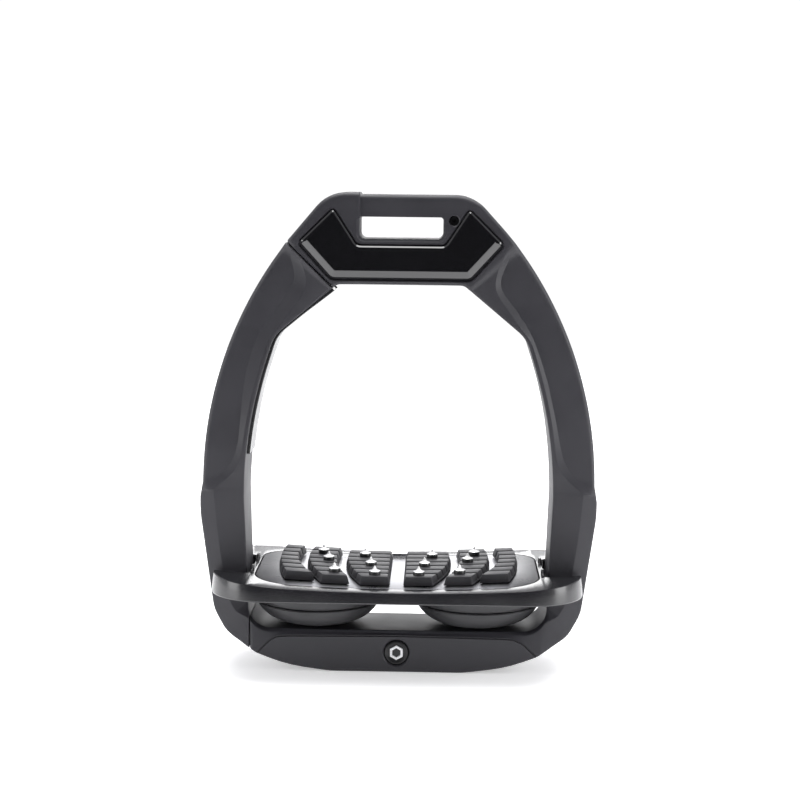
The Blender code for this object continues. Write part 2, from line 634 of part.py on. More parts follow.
def make_insert():
    outline = rounded(box_corners(GRIP_HALF, GRIP_SIDE, GRIP_CORNER))
    insert = new_object("grip_insert", extruded(outline, POCKET_Z + GAP, TRAY_TOP_Z, False), SATIN)
    top = TRAY_TOP_Z - 0.8 * MM
    for x, y in insert_screw_places():
        combine(insert, rod(INSERT_SCREW_R + GAP, 0, top, (x, y, 0), segments=16), 'DIFFERENCE')
    settle(insert, dished)
    head_r, head = INSERT_SCREW_HEAD
    seat = TRAY_BOTTOM_Z - GAP
    for number, (x, y) in enumerate(insert_screw_places(), 1):
        profile = [(0, seat - head), (head_r - 0.4 * MM, seat - head), (head_r, seat - head / 2)]
        profile += [(head_r, seat), (INSERT_SCREW_R, seat), (INSERT_SCREW_R, top - GAP), (0, top - GAP)]
        shade_round(new_object(f"insert_screw_{number}", placed(turned(profile, 16), (x, y, 0)), STEEL))


def pad_outline(side, pad, low, high):
    inner, outer, inner_bend, outer_bend = pad[:4]
    bulge = PAD_BULGE * GRIP_SIDE
    rows = [low + (high - low) * k / 10 for k in range(11)]
    edge = [(side * (outer * GRIP_HALF - outer_bend * (y - bulge) ** 2), y) for y in rows]
    back = [(side * (inner * GRIP_HALF - inner_bend * (y - bulge) ** 2), y) for y in reversed(rows)]
    return edge + back


def rib_profile(low, high, floor):
    """Comb section in YZ: a skin with ribs standing on it."""
    pitch = (high - low + RIB_GAP) / RIBS
    top = floor + PAD_RISE
    points = [(low, floor), (high, floor)]
    for k in reversed(range(RIBS)):
        start = low + k * pitch
        end = start + pitch - RIB_GAP
        points += [(end, floor + PAD_SKIN), (end - RIB_DRAFT, top), (start + RIB_DRAFT, top)]
        points.append((start, floor + PAD_SKIN))
    return points


def make_pads_and_studs():
    floor = TRAY_TOP_Z + GAP
    pad_number = iter(range(1, 7))
    stud_number = iter(range(1, 13))
    for side, order in ((-1, (2, 1, 0)), (1, (0, 1, 2))):
        for row in order:
            pad = PADS[row]
            low, high = (share * GRIP_SIDE for share in pad[4:])
            shape = extruded(pad_outline(side, pad, low - MM, high + MM), floor - MM, floor + 9 * MM, False)
            obj = new_object(f"grip_pad_{next(pad_number)}", shape, RUBBER)
            comb = bmesh.new()
            section = [(-TREAD_HALF, y, z) for y, z in rib_profile(low, high, floor)]
            face = comb.faces.new([comb.verts.new(point) for point in section])
            moved = bmesh.ops.extrude_face_region(comb, geom=[face])["geom"]
            ends = [v for v in moved if isinstance(v, bmesh.types.BMVert)]
            bmesh.ops.translate(comb, verts=ends, vec=(2 * TREAD_HALF, 0, 0))
            combine(obj, comb, 'INTERSECT')
            for share_x, share_y in (STUDS[row] if row < len(STUDS) else ()):
                x, y = side * share_x * GRIP_HALF, share_y * GRIP_SIDE
                combine(obj, rod(STUD_SHANK_R + GAP, 0, HEIGHT / 2, (x, y, 0), segments=12), 'DIFFERENCE')
                make_stud(f"stud_{next(stud_number)}", x, y)
            settle(obj, dished)


def make_stud(name, x, y):
    """Steel cone on a disc with a collar below, its shank pressed into the pad."""
    shank = TRAY_TOP_Z + GAP + DISH * ((abs(x) + STUD_R) / TREAD_HALF) ** 2
    seat = shank + PAD_RISE + GAP
    tip = seat + STUD_RISE
    profile = [(0, shank), (STUD_SHANK_R, shank), (STUD_SHANK_R, seat), (STUD_R, seat)]
    profile += [(STUD_R, seat + STUD_COLLAR), (0.4 * STUD_R, seat + STUD_COLLAR + 0.4 * MM)]
    profile += [(0.25 * MM, tip), (0, tip)]
    shade_round(new_object(name, placed(turned(profile, 12), (x, y, 0)), STEEL))


def make_clip():
    """Spring tab at the back of the tray that keeps the insert down."""
    half, reach, thick = CLIP
    back = GRIP_SIDE + GAP
    floor = TRAY_TOP_Z + GAP
    low = (-half, back - 3 * MM, floor)
    high = (half, back + reach, floor + thick)
    new_object("insert_clip", block(low, high), STEEL)


# ---------------------------------------------------------------- dampers

def bowl_radius(z):
    """Half-ellipsoid whose widest ring is at the tray and whose foot ring stands on the base."""
    depth = (DAMPER_HEIGHT - GAP) / math.sqrt(1 - (DAMPER_FOOT_R / DAMPER_R) ** 2)
    return DAMPER_R * math.sqrt(1 - ((TRAY_BOTTOM_Z - z) / depth) ** 2)


def make_dampers():
    foot_z = BASE_TOP_Z + GAP
    seam_z = TRAY_BOTTOM_Z - CUP_HEIGHT
    top_z = TRAY_BOTTOM_Z - GAP
    rim_z = seam_z - GAP
    cup_bore = BOLT_R + RUNNING
    bowl_bore = cup_bore + 0.4 * MM
    steps = 6
    for name, side in (("left", -1), ("right", 1)):
        at = (side * DAMPER_X, 0, 0)
        heights = [foot_z + (rim_z - foot_z) * (k / steps) ** 1.6 for k in range(steps + 1)]
        bowl = [(bowl_bore, foot_z)] + [(bowl_radius(z), z) for z in heights] + [(bowl_bore, rim_z)]
        shade_round(new_object(f"damper_{name}", placed(turned(bowl, ROUND), at), ELASTOMER))
        cup = [(cup_bore, seam_z)] + [(bowl_radius(z), z) for z in (seam_z, (seam_z + top_z) / 2, top_z)]
        cup.append((cup_bore, top_z))
        shade_round(new_object(f"damper_cup_{name}", placed(turned(cup, ROUND), at), COMPOSITE))
        make_bolt(name, at)


def make_bolt(name, at):
    """Bolt and washer that hold a damper, from the counterbore under the base up into the tray."""
    washer_z = SEAT_Z - GAP
    ring = [(BOLT_R + 0.2 * MM, washer_z - WASHER), (BOLT_HEAD_R, washer_z - WASHER)]
    ring += [(BOLT_HEAD_R, washer_z), (BOLT_R + 0.2 * MM, washer_z)]
    shade_round(new_object(f"bolt_washer_{name}", placed(turned(ring, 20), at), STEEL))
    head_z = washer_z - WASHER - GAP
    low = head_z - BOLT_HEAD
    tip = TRAY_BOTTOM_Z + BOLT_REACH
    bolt = [(0, low + BOLT_SOCKET), (BOLT_SOCKET_R, low + BOLT_SOCKET), (BOLT_SOCKET_R, low)]
    bolt += [(BOLT_HEAD_R, low), (BOLT_HEAD_R, head_z), (BOLT_R, head_z), (BOLT_R, tip), (0, tip)]
    shade_round(new_object(f"damper_bolt_{name}", placed(turned(bolt, 20), at), STEEL))


def hang(pivot, at, names):
    """Puts an empty on a joint's axis and parents its pieces to it where they stand."""
    empty = bpy.data.objects.new(pivot, None)
    empty.location = at
    bpy.context.scene.collection.objects.link(empty)
    for obj in bpy.data.objects:
        if obj.name.startswith(names):
            obj.parent = empty
            obj.matrix_parent_inverse = Matrix.Translation(-at)


make_frame()
make_inlays()
make_eye_screw()
make_latch()
make_release_arm()
make_liner()
make_hinge()
make_cap()
make_tray()
make_insert()
make_pads_and_studs()
make_clip()
make_dampers()
hang("pivot_arm", HINGE, ("release_arm", "arm_", "latch_magnet"))
tread_pieces = ("tread_", "grip_", "stud_", "insert_", "damper_cup", "damper_bolt", "bolt_washer")
hang("pivot_tread", Vector((0, 0, BASE_TOP_Z)), tread_pieces)
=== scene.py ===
"""Safety stirrup iron in a studio: moulded frame with a release arm, polished inlays and a cushioned tread."""
import math

import bmesh
import bpy
from mathutils import Matrix, Vector


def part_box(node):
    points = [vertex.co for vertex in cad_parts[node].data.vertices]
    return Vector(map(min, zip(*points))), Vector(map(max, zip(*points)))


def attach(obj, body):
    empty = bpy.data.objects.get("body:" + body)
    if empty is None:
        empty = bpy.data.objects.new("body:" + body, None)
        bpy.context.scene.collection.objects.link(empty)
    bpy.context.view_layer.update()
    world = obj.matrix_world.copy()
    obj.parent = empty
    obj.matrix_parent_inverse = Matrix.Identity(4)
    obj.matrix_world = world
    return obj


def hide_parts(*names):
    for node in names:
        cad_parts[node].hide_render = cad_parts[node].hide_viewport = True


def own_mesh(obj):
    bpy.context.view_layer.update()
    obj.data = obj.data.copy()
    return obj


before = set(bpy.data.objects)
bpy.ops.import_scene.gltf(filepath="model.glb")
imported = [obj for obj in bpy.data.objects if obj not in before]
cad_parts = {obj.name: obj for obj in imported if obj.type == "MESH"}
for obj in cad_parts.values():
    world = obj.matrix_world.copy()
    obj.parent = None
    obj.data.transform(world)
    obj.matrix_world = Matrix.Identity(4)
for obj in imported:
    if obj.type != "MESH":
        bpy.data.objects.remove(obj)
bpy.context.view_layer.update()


# ---- Main frame -------------------------------------------------------------------------------
# One moulding in charcoal fibre-filled composite: the base, the fixed right arm and the top housing.
# It is a ring whose section changes on the way round: a shallow roof on the lower arm, a recessed
# panel on the upper arm and a raised plate for the housing. Pockets and bores are cut afterwards.

MM = 0.001
BASE_TOP = 16.6
BASE_HALF = 15.5                    # half depth of the base, front to back
PLATE_FACE = 12.5                   # half depth of the housing
HALF_IN = 59.6                      # half width of the foot opening
FOOT_IN = 1.8                       # the opening is narrower by this at its foot
HALF_OUT = 75.6
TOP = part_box("main_frame")[1].z / MM
WIDEST = 68.0                       # height of the arms' shoulders
SHOULDER = HALF_OUT + 1
CURVE_LOW = WIDEST + 6              # the outer curve starts here and ends at the housing's slant
EAR_X, EAR_DROP = 43.2, 18.3
BAR_SETBACK, BAR_DROP = 0.95, 0.75  # the leather bar lies behind and below the housing by these
RAY_LOW = 27.0                      # the lower cutting lines fan out from this height
SEAM_X = 57.2
SEAM_PIVOT = (15.1, 138.7)          # the top seam's line passes through this point
SEAM_ANGLE = 44.36
SEAM_CHAMFER = 0.35
LOW_SEAM, TOP_SEAM = 0.15, 0.25     # each side of a seam stands back by this


def rounded(corners, step=4.0):
    """A closed outline of (x, z, radius) corners, each turned into an arc."""
    points = []
    for i, (x, z, radius) in enumerate(corners):
        here = Vector((x, z))
        back = (Vector(corners[i - 1][:2]) - here).normalized()
        ahead = (Vector(corners[(i + 1) % len(corners)][:2]) - here).normalized()
        half = back.angle(ahead) / 2
        turn = math.pi - 2 * half
        if radius == 0 or turn < 1e-4:
            points.append(here)
            continue
        middle = here + (back + ahead).normalized() * (radius / math.sin(half))
        start = here + back * (radius / math.tan(half)) - middle
        sign = 1 if back.cross(ahead) < 0 else -1
        count = max(2, round(math.degrees(turn) / step))
        for k in range(count + 1):
            points.append(middle + Matrix.Rotation(sign * turn * k / count, 2) @ start)
    return points


def blend_at(pairs, x):
    """Reads a smooth value off (place, value) pairs."""
    if x <= pairs[0][0]:
        return pairs[0][1]
    for (a, low), (b, high) in zip(pairs, pairs[1:]):
        if x <= b:
            t = (x - a) / (b - a)
            return low + (high - low) * t * t * (3 - 2 * t)
    return pairs[-1][1]


def arm_curve(start_x, start_z, rise, run, low, high, steps):
    """An arc that leaves (start_x, start_z) upright and comes in by run over rise."""
    radius = (rise ** 2 + run ** 2) / (2 * run)
    heights = [low + (high - low) * k / steps for k in range(steps + 1)]
    return [(start_x - radius + math.sqrt(radius ** 2 - (z - start_z) ** 2), z, 0) for z in heights]


outside = [(26.0, 0, 40), (43.0, 2.3, 60), (54.6, 6.8, 12), (66.3, 14.9, 14), (71.3, 24.0, 16)]
outside += [(SHOULDER, WIDEST - 6, 40), (SHOULDER, WIDEST, 2)]
outside += arm_curve(HALF_OUT, CURVE_LOW, TOP - EAR_DROP - WIDEST - 6, HALF_OUT - EAR_X,
                     CURVE_LOW, TOP - EAR_DROP, 44)
outside += [(EAR_X - EAR_DROP * 0.84, TOP, 15)]
inside = [(HALF_IN - FOOT_IN, BASE_TOP, 9), (HALF_IN, WIDEST, 0)]
inside += arm_curve(HALF_IN, WIDEST, 62.6, 11.6, WIDEST + 2, 122.0, 28)
inside += [(48.3, 130.6, 13), (24.2, TOP - 35.0, 4)]


def whole(corners):
    """The full outline from the corners of its right half."""
    return rounded(corners + [(-x, z, r) for x, z, r in reversed(corners)])


OUTSIDE = whole(outside)
INSIDE = whole(inside)


def hit(outline, origin, way):
    """How far along a ray the outline is crossed."""
    best = None
    for a, b in zip(outline, outline[1:] + outline[:1]):
        side = b - a
        turn = way.cross(side)
        if abs(turn) < 1e-9:
            continue
        reach = (a - origin).cross(side) / turn
        along = (a - origin).cross(way) / turn
        if reach > 0 and -1e-6 <= along <= 1 + 1e-6 and (best is None or reach > best):
            best = reach
    return best


def station(q, shift=0.0):
    """A cutting line across the ring: q runs from the middle of the base (0) to the middle of the top (5)."""
    side = 1 if q >= 0 else -1
    q = abs(q)
    if q <= 1:
        origin, angle = (SEAM_X * q, RAY_LOW), -90.0
    elif q <= 2:
        origin, angle = (SEAM_X, RAY_LOW), -90.0 + 90.0 * (q - 1)
    elif q <= 3:
        low = (SEAM_X, RAY_LOW)
        origin = tuple(a + (b - a) * (q - 2) for a, b in zip(low, SEAM_PIVOT))
        angle = 0.0
    elif q <= 4:
        origin, angle = SEAM_PIVOT, 90.0 * (q - 3)
    else:
        origin, angle = (SEAM_PIVOT[0] * (5 - q), SEAM_PIVOT[1]), 90.0
    angle = math.radians(angle)
    way = Vector((side * math.cos(angle), math.sin(angle)))
    return Vector((side * origin[0], origin[1])) + Vector((-way.y, way.x)) * shift, way


SEAM_Q = 3 + SEAM_ANGLE / 90
# Lines drawn on the face, on the right half: the roof ridge, and both edges of the ramp into the recess.
RIDGE = [(0, 16.3), (27, 16.5), (42, 17.4), (50.8, 18.9), (57.7, 20.8), (62.4, 23.4), (64.6, 27), (67.4, 39.9),
         (68.6, 47.6), (69.7, 55.9), (70.6, 65.2), (71.2, 71.6)]
RAMP_TOP = [(71.2, 71.6), (67.8, 74.2), (63.8, 77.6), (61.0, 83), (59.4, 90), (57.4, 100), (53.8, 114), (50.2, 124.5),
            (47.3, 132), (44.4, 137.1), (41, 141.7), (37.7, 146), (36.2, 149.4), (36.1, 152.7), (37.4, 157.8),
            (39.8, 162.4), (42.6, 166.6)]
RAMP_FOOT = [(76.2, 70.6), (72.6, 73.8), (69.2, 76.6), (66, 79.6), (63.4, 84), (61.8, 90.5), (60, 100), (56.8, 114),
             (53.4, 124.5), (50, 132.4), (46.6, 138.4), (43.4, 142.6), (40, 146.8), (38.3, 150), (38.1, 152.8),
             (39.4, 157), (41.7, 161.8), (44.4, 166.4)]
SOFT_RAMP_FOOT = RAMP_FOOT[:6] + [(61, 100), (60.4, 108), (59.2, 116), (57, 124.5), (54, 131.4), (50.3, 137.4),
                                  (46.6, 142.6), (43.2, 147.4), (41.2, 150.6), (40.6, 153.4), (41.2, 157.6),
                                  (42.8, 162), (45, 166.4)]
PANEL_TOP = [(0, 14.7), (42.5, 14.2), (45.4, 13.9), (48.9, 12.2), (54.6, 7.0)]

# Along the ring: half depth, and how far each line of the section lies behind that.
HALF_DEPTH = [(0, BASE_HALF), (2.42, BASE_HALF), (3.1, 11.9), (SEAM_Q - 0.06, 11.7), (SEAM_Q, PLATE_FACE)]
SINK_INNER = [(0, 1.2), (0.6, 1.5), (1.0, 2.6), (1.6, 3.0), (2.22, 3.0), (2.38, 1.7), (2.5, 0.7), (2.62, 0.35),
              (3.2, 0.3), (3.45, 0.0)]
SINK_RIDGE = [(0, 0.9), (0.75, 0.8), (1.0, 0.25), (1.3, 0.0), (5, 0.0)]
SINK_OUTER = [(0, 0.0), (0.9, 0.2), (1.2, 1.3), (2.35, 1.9), (2.43, 1.6), (3.42, 1.5),
              (SEAM_Q - 0.03, 0.8), (SEAM_Q + 0.04, 0)]
ROUND_INNER = [(0, 0.7), (2.9, 0.8), (3.6, 1.2), (4.0, 1.8)]
ROUND_OUTER = [(0, 1.8), (1.0, 1.2), (2.36, 1.0), (2.5, 2.2), (3.3, 2.4), (3.6, 3.0)]
CREASE = 0.7                        # rounding of the lines on the face
PANEL_Q = 2.39                      # the upper arm's recessed panel starts here
STEP_Q = 3.989                      # left end of the leather bar


def bar_share(q):
    """How much of a station belongs to the leather bar: a step at its left end, a long fade at its right."""
    if q < 0:
        return 1.0 if q < -STEP_Q else 0.0
    return blend_at([(3.86, 0.0), (4.02, 1.0)], q)


def crossing(line, origin, way, side):
    """Where a face line crosses a cutting line, as a distance along it."""
    for (ax, az), (bx, bz) in zip(line, line[1:]):
        a, b = Vector((side * ax, az)), Vector((side * bx, bz))
        edge = b - a
        turn = way.cross(edge)
        if abs(turn) < 1e-9:
            continue
        reach = (a - origin).cross(edge) / turn
        along = (a - origin).cross(way) / turn
        if reach > 0 and -1e-6 <= along <= 1 + 1e-6:
            return reach
    return None


def face_lines(q, shift=0.0):
    """Where the ring starts and ends on a cutting line, then the ridge and the ramp's two edges from its start."""
    origin, way = station(q, shift)
    side = 1 if q >= 0 else -1
    near, far = hit(INSIDE, origin, way), hit(OUTSIDE, origin, way)
    aq = abs(q)
    far -= BAR_DROP * (blend_at([(3.55, 0.0), (3.85, 1.0)], q) if q > 0 else bar_share(q))
    width = far - near
    ridge = crossing(RIDGE, origin, way, side)
    top = crossing(RAMP_TOP, origin, way, side)
    foot = crossing(RAMP_FOOT if side > 0 else SOFT_RAMP_FOOT, origin, way, side)
    edge = width - blend_at(ROUND_OUTER, aq) - 0.5
    if aq < 1:
        top = foot = crossing(PANEL_TOP, origin, way, side)
    if aq > SEAM_Q:
        band = (TOP - 14.5 - origin.y) / way.y, (TOP - 12.0 - origin.y) / way.y
        top, foot = near + edge - 0.8, near + edge - 0.4
        ridge = near + edge - 1.6
        if aq > 3.8:
            ridge, top, foot = band[0], band[1], max(band[1] + 3, near + edge - 1.5)
    top = edge if top is None else top - near
    foot = edge if foot is None else foot - near
    ridge = top if ridge is None else ridge - near
    inner = blend_at(ROUND_INNER, aq) + 0.35
    foot = min(max(foot, inner + 0.9), edge)
    top = min(max(top, inner + 0.45), foot - 0.3)
    ridge = min(max(ridge, inner), top - 0.3)
    return near, far, ridge, top, foot


def sinks(q, width, ridge, top, foot):
    """How far behind the half depth each line of the section lies: inner edge, ridge, ramp top and foot, outer edge."""
    aq = abs(q)
    inner, outer = blend_at(SINK_INNER, aq), blend_at(SINK_OUTER, aq)
    crest = blend_at(SINK_RIDGE, aq)
    if aq < 1:
        return inner, crest, 0.0, 0.0, outer
    if aq < PANEL_Q:                 # ramp lines still lie on the outer plane
        slope = (outer - crest) / max(width - ridge, 1)
        return inner, crest, crest + slope * (top - ridge), crest + slope * (foot - ridge), outer
    if aq < SEAM_Q - 0.03:
        share = min(1, (aq - PANEL_Q) / 0.05)
        panel = inner * share * 0.6
        return inner, panel, panel, 1.5 * share + 0.6 * (1 - share), outer
    fall = min(1, (SEAM_Q + 0.03 - aq) / 0.06) if aq < SEAM_Q + 0.03 else 0
    bar = BAR_SETBACK * bar_share(q)
    return inner, 0.0, bar, max(outer * fall, bar), max(outer, bar)


def arc_points(corners, counts):
    """Rounds the corners of a closed section, each with its own fixed number of steps."""
    points = []
    for i, ((x, y, radius), count) in enumerate(zip(corners, counts)):
        here = Vector((x, y))
        back = Vector(corners[i - 1][:2]) - here
        ahead = Vector(corners[(i + 1) % len(corners)][:2]) - here
        room = 0.48 * min(back.length, ahead.length)
        half = back.angle(ahead) / 2
        if half < math.pi / 2 - 1e-4:
            reach = min(radius / max(math.tan(half), 1e-6), room)
        else:
            reach = min(radius, room) * 0.2
        start, end = here + back.normalized() * reach, here + ahead.normalized() * reach
        for k in range(count + 1):
            t = k / count
            points.append(start * (1 - t) ** 2 + here * 2 * t * (1 - t) + end * t ** 2)
    return points


def section(q, lines, shift=0.0, inset=0.0):
    """The ring's section at a cutting line, as points in millimetres."""
    near, far, ridge, top, foot = lines
    origin, way = station(q, shift)
    near, far = near + inset, far - inset
    width = far - near
    depth = blend_at(HALF_DEPTH, abs(q)) - inset
    sink = sinks(q, width, ridge, top, foot)
    small, large = blend_at(ROUND_INNER, abs(q)), blend_at(ROUND_OUTER, abs(q))
    front = [(0, depth - sink[0], small), (ridge, depth - sink[1], CREASE), (top, depth - sink[2], CREASE)]
    front += [(foot, depth - sink[3], CREASE), (width, depth - sink[4], large)]
    corners = [(u, -y, r) for u, y, r in front] + [(u, y, r) for u, y, r in reversed(front)]
    counts = (4, 3, 3, 3, 7, 7, 3, 3, 3, 4)
    base = origin + way * near
    return [Vector((base.x + way.x * u, y, base.y + way.y * u)) * MM for u, y in arc_points(corners, counts)]


def softened(rows, passes):
    """Evens out the run of the face lines from one cutting line to the next."""
    for _ in range(passes):
        middle = []
        for before, here, after in zip(rows, rows[1:], rows[2:]):
            mixed = tuple((a + 2 * b + c) / 4 for a, b, c in zip(before[2:], here[2:], after[2:]))
            middle.append(here[:2] + mixed)
        rows = [rows[0]] + middle + [rows[-1]]
    return rows


def lofted(sections):
    """A closed solid through a run of sections with the same number of points."""
    bm = bmesh.new()
    ring = [bm.verts.new(p) for p in sections[0]]
    edges = [bm.edges.new(pair) for pair in zip(ring, ring[1:] + ring[:1])]
    bmesh.ops.contextual_create(bm, geom=edges)
    for points in sections[1:]:
        grown = bmesh.ops.extrude_edge_only(bm, edges=edges)["geom"]
        fresh = {v for v in grown if isinstance(v, bmesh.types.BMVert)}
        ring = [next(e.other_vert(v) for e in v.link_edges if e.other_vert(v) in fresh) for v in ring]
        for v, p in zip(ring, points):
            v.co = p
        edges = [bm.edges.get(pair) for pair in zip(ring, ring[1:] + ring[:1])]
    bmesh.ops.contextual_create(bm, geom=edges)
    bmesh.ops.recalc_face_normals(bm, faces=bm.faces)
    return bm


def run_of(*stops):
    """Cutting lines between stops, each stop given as (q, how many steps lead to it)."""
    places = [stops[0][0]]
    for (a, _), (b, count) in zip(stops, stops[1:]):
        places += [a + (b - a) * k / count for k in range(1, count + 1)]
    return places


def ring_piece(places, start_shift, end_shift):
    """The ring between two seams, each end moved clear of its seam and lightly chamfered."""
    rows = softened([face_lines(q) for q in places], 3)
    middle = [section(q, row) for q, row in zip(places[1:-1], rows[1:-1])]
    ends = []
    for q, shift in ((places[0], start_shift), (places[-1], end_shift)):
        further = shift + math.copysign(SEAM_CHAMFER, shift)
        ends.append([section(q, face_lines(q, shift), shift, SEAM_CHAMFER),
                     section(q, face_lines(q, further), further)])
    return lofted(ends[0] + middle + ends[1][::-1])


def finished(name, bm, body, replaced, smooth=32):
    """Makes a mesh into a piece of the object that rides on a body in place of CAD nodes."""
    mesh = bpy.data.meshes.new(name)
    bm.to_mesh(mesh)
    bm.free()
    obj = bpy.data.objects.new(name, mesh)
    bpy.context.scene.collection.objects.link(obj)
    mesh.shade_smooth()
    mesh.set_sharp_from_angle(angle=math.radians(smooth))
    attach(obj, body)
    if replaced:
        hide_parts(*replaced)
    return obj


def cut(bm, cutters):
    """Takes every cutter out of a solid in one exact Boolean, then drops the cutters."""
    made = []
    for name, shape in (("solid", bm), *(("cutter", c) for c in cutters)):
        mesh = bpy.data.meshes.new(name)
        shape.to_mesh(mesh)
        shape.free()
        obj = bpy.data.objects.new(name, mesh)
        bpy.context.scene.collection.objects.link(obj)
        made.append(obj)
    solid = made[0]
    for guide in made[1:]:
        modifier = solid.modifiers.new("cut", 'BOOLEAN')
        modifier.operation = 'DIFFERENCE'
        modifier.solver = 'EXACT'
        modifier.object = guide
    bpy.context.view_layer.update()
    out = bmesh.new()
    out.from_object(solid, bpy.context.evaluated_depsgraph_get())
    bmesh.ops.remove_doubles(out, verts=out.verts, dist=0.002 * MM)
    for obj in made:
        bpy.data.objects.remove(obj)
    return out


def slab(outline, low, high, across=False):
    """A prism of an XZ outline between two Y values, or of an XY outline between two Z values, in millimetres."""
    bm = bmesh.new()
    ring = [bm.verts.new((p[0], p[1], low) if across else (p[0], low, p[1])) for p in outline]
    rim = [bm.edges.new(pair) for pair in zip(ring, ring[1:] + ring[:1])]
    face = bmesh.ops.contextual_create(bm, geom=rim)["faces"]
    top = bmesh.ops.extrude_face_region(bm, geom=face)["geom"]
    push = (0, 0, high - low) if across else (0, high - low, 0)
    bmesh.ops.translate(bm, verts=[v for v in top if isinstance(v, bmesh.types.BMVert)], vec=push)
    bmesh.ops.scale(bm, verts=bm.verts, vec=(MM, MM, MM))
    bmesh.ops.recalc_face_normals(bm, faces=bm.faces)
    return bm


def turned(profile, at, axis=(0, 0, 1), steps=48):
    """A round solid from (radius, height) points about an axis through a point, in millimetres."""
    bm = bmesh.new()
    ring = [bm.verts.new((r, 0, z)) for r, z in profile]
    closed = profile[0][0] > 0
    edges = [bm.edges.new(pair) for pair in zip(ring, ring[1:] + (ring[:1] if closed else []))]
    bmesh.ops.spin(bm, geom=ring + edges, axis=(0, 0, 1), cent=(0, 0, 0), steps=steps, angle=math.tau, use_merge=True)
    bmesh.ops.remove_doubles(bm, verts=bm.verts, dist=1e-4)
    turn = Vector((0, 0, 1)).rotation_difference(Vector(axis)).to_matrix().to_4x4()
    place = Matrix.Scale(MM, 4) @ Matrix.Translation(at) @ turn
    bmesh.ops.transform(bm, matrix=place, verts=bm.verts)
    bmesh.ops.recalc_face_normals(bm, faces=bm.faces)
    return bm


def groove(line, width, low, high):
    """A narrow prism that follows an open line, for an engraved groove."""
    sections = []
    for i, p in enumerate(line):
        here = Vector(p)
        along = (Vector(line[min(i + 1, len(line) - 1)]) - Vector(line[max(i - 1, 0)])).normalized()
        aside = Vector((-along.y, along.x)) * width / 2
        corners = ((here - aside, low), (here + aside, low), (here + aside, high), (here - aside, high))
        sections.append([Vector((c.x, y, c.y)) * MM for c, y in corners])
    return lofted(sections)


def upright(outline, y):
    """An XZ outline in millimetres as points at a Y value."""
    return [Vector((p[0], y, p[1])) * MM for p in outline]


SLOT_HALF = 16


def slot_outline(grow):
    """The leather slot, widened sideways and downwards by grow."""
    z_low, z_high = TOP - 17.6, TOP - 9.2
    half = SLOT_HALF + grow
    box = [(-half, z_low - grow), (half, z_low - grow), (half, z_high), (-half, z_high)]
    return rounded([(x, z, 2.2 + grow * 0.5 if z < z_high else 1.2) for x, z in box], 12)


def inlay_line(grow, low_edge=0.0):
    """The inlay's outline moved outwards by grow, and its lower edges by low_edge more."""
    right = [(25.9, TOP - 6.3, 1.0), (38.6, TOP - 18.8, 1.3), (26.4, TOP - 32.2, 3.0)]
    line = rounded(right + [(-x, z, r) for x, z, r in reversed(right)]
                   + [(-16.9, TOP - 20.1, 3.0), (16.9, TOP - 20.1, 3.0)], 9)
    area = sum(a.cross(b) for a, b in zip(line, line[1:] + line[:1]))
    out = []
    for i, p in enumerate(line):
        back = (p - line[i - 1]).normalized()
        ahead = (line[(i + 1) % len(line)] - p).normalized()
        side = Vector((back.y + ahead.y, -back.x - ahead.x)).normalized() * math.copysign(1, area)
        lower = min(max((-side.y - 0.15) / 0.35, 0), 1)
        out.append(p + side * (grow + low_edge * lower))
    return out


places = run_of((-1, 0), (0, 60), (1, 60), (2, 30), (2.36, 26), (2.6, 40), (2.98, 36), (SEAM_Q, 30),
                (3.62, 10), (4, 24), (5, 12))
left_top = [-q for q in reversed(run_of((SEAM_Q, 0), (3.62, 8), (3.985, 14), (3.992, 1), (4, 1), (4.97, 12)))]
body_shape = ring_piece(places + left_top, LOW_SEAM, -TOP_SEAM)
cutters = []
# leather slot with flared mouths
mouth = [(1.0, 14.5), (1.0, 12.5), (0.2, 11.4), (0.0, 10.8)]
cutters.append(lofted([upright(slot_outline(grow), -y) for grow, y in mouth]
                      + [upright(slot_outline(grow), y) for grow, y in reversed(mouth)]))
# inlay pockets, each with a thin bright chamfer at its mouth
for way in (-1, 1):
    levels = [(1.0, 14.0), (0.75, 12.5), (0.4, 12.1), (0.4, 10.7)]
    cutters.append(lofted([upright(inlay_line(grow, 0.9), way * y) for grow, y in levels]))
eye_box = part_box("eye_screw")
eye_middle = ((eye_box[0] + eye_box[1]) / 2) / MM
EYE_R = 1.9
cutters.append(turned([(0, -0.6), (EYE_R + 0.5, -0.6), (EYE_R + 0.5, 0.0), (EYE_R, 0.5), (EYE_R, 3.9), (0, 3.9)],
                      (eye_middle.x, -PLATE_FACE, eye_middle.z), (0, 1, 0), 40))
# keeper pocket in the seam face
keeper = (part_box("latch_keeper")[0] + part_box("latch_keeper")[1]) / 2 / MM
seam_out = Vector((-math.cos(math.radians(SEAM_ANGLE)), 0, math.sin(math.radians(SEAM_ANGLE))))
LATCH_POCKET = [(0, -2.2), (4.3, -2.2), (4.3, 4), (0, 4)]
cutters.append(turned(LATCH_POCKET, keeper, seam_out, 40))
# hinge fork and the pin's blind bore
hinge_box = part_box("hinge_bush_front")
hinge_x = (hinge_box[0].x + hinge_box[1].x) / 2 / MM
hinge_z = (hinge_box[0].z + hinge_box[1].z) / 2 / MM
FORK_ROOM, FORK_HALF, BUSH_R = 4.3, 9, 2.9
fork_x, fork_z = hinge_x + FORK_ROOM, hinge_z + FORK_ROOM
cutters.append(slab([(-SEAM_X - 3, -1), (fork_x, -1), (fork_x, fork_z), (-SEAM_X - 3, fork_z)], -FORK_HALF, FORK_HALF))
cutters.append(turned([(0, -18), (BUSH_R, -18), (BUSH_R, 12.9), (0, 12.9)], (hinge_x, 0, hinge_z), (0, -1, 0), 32))
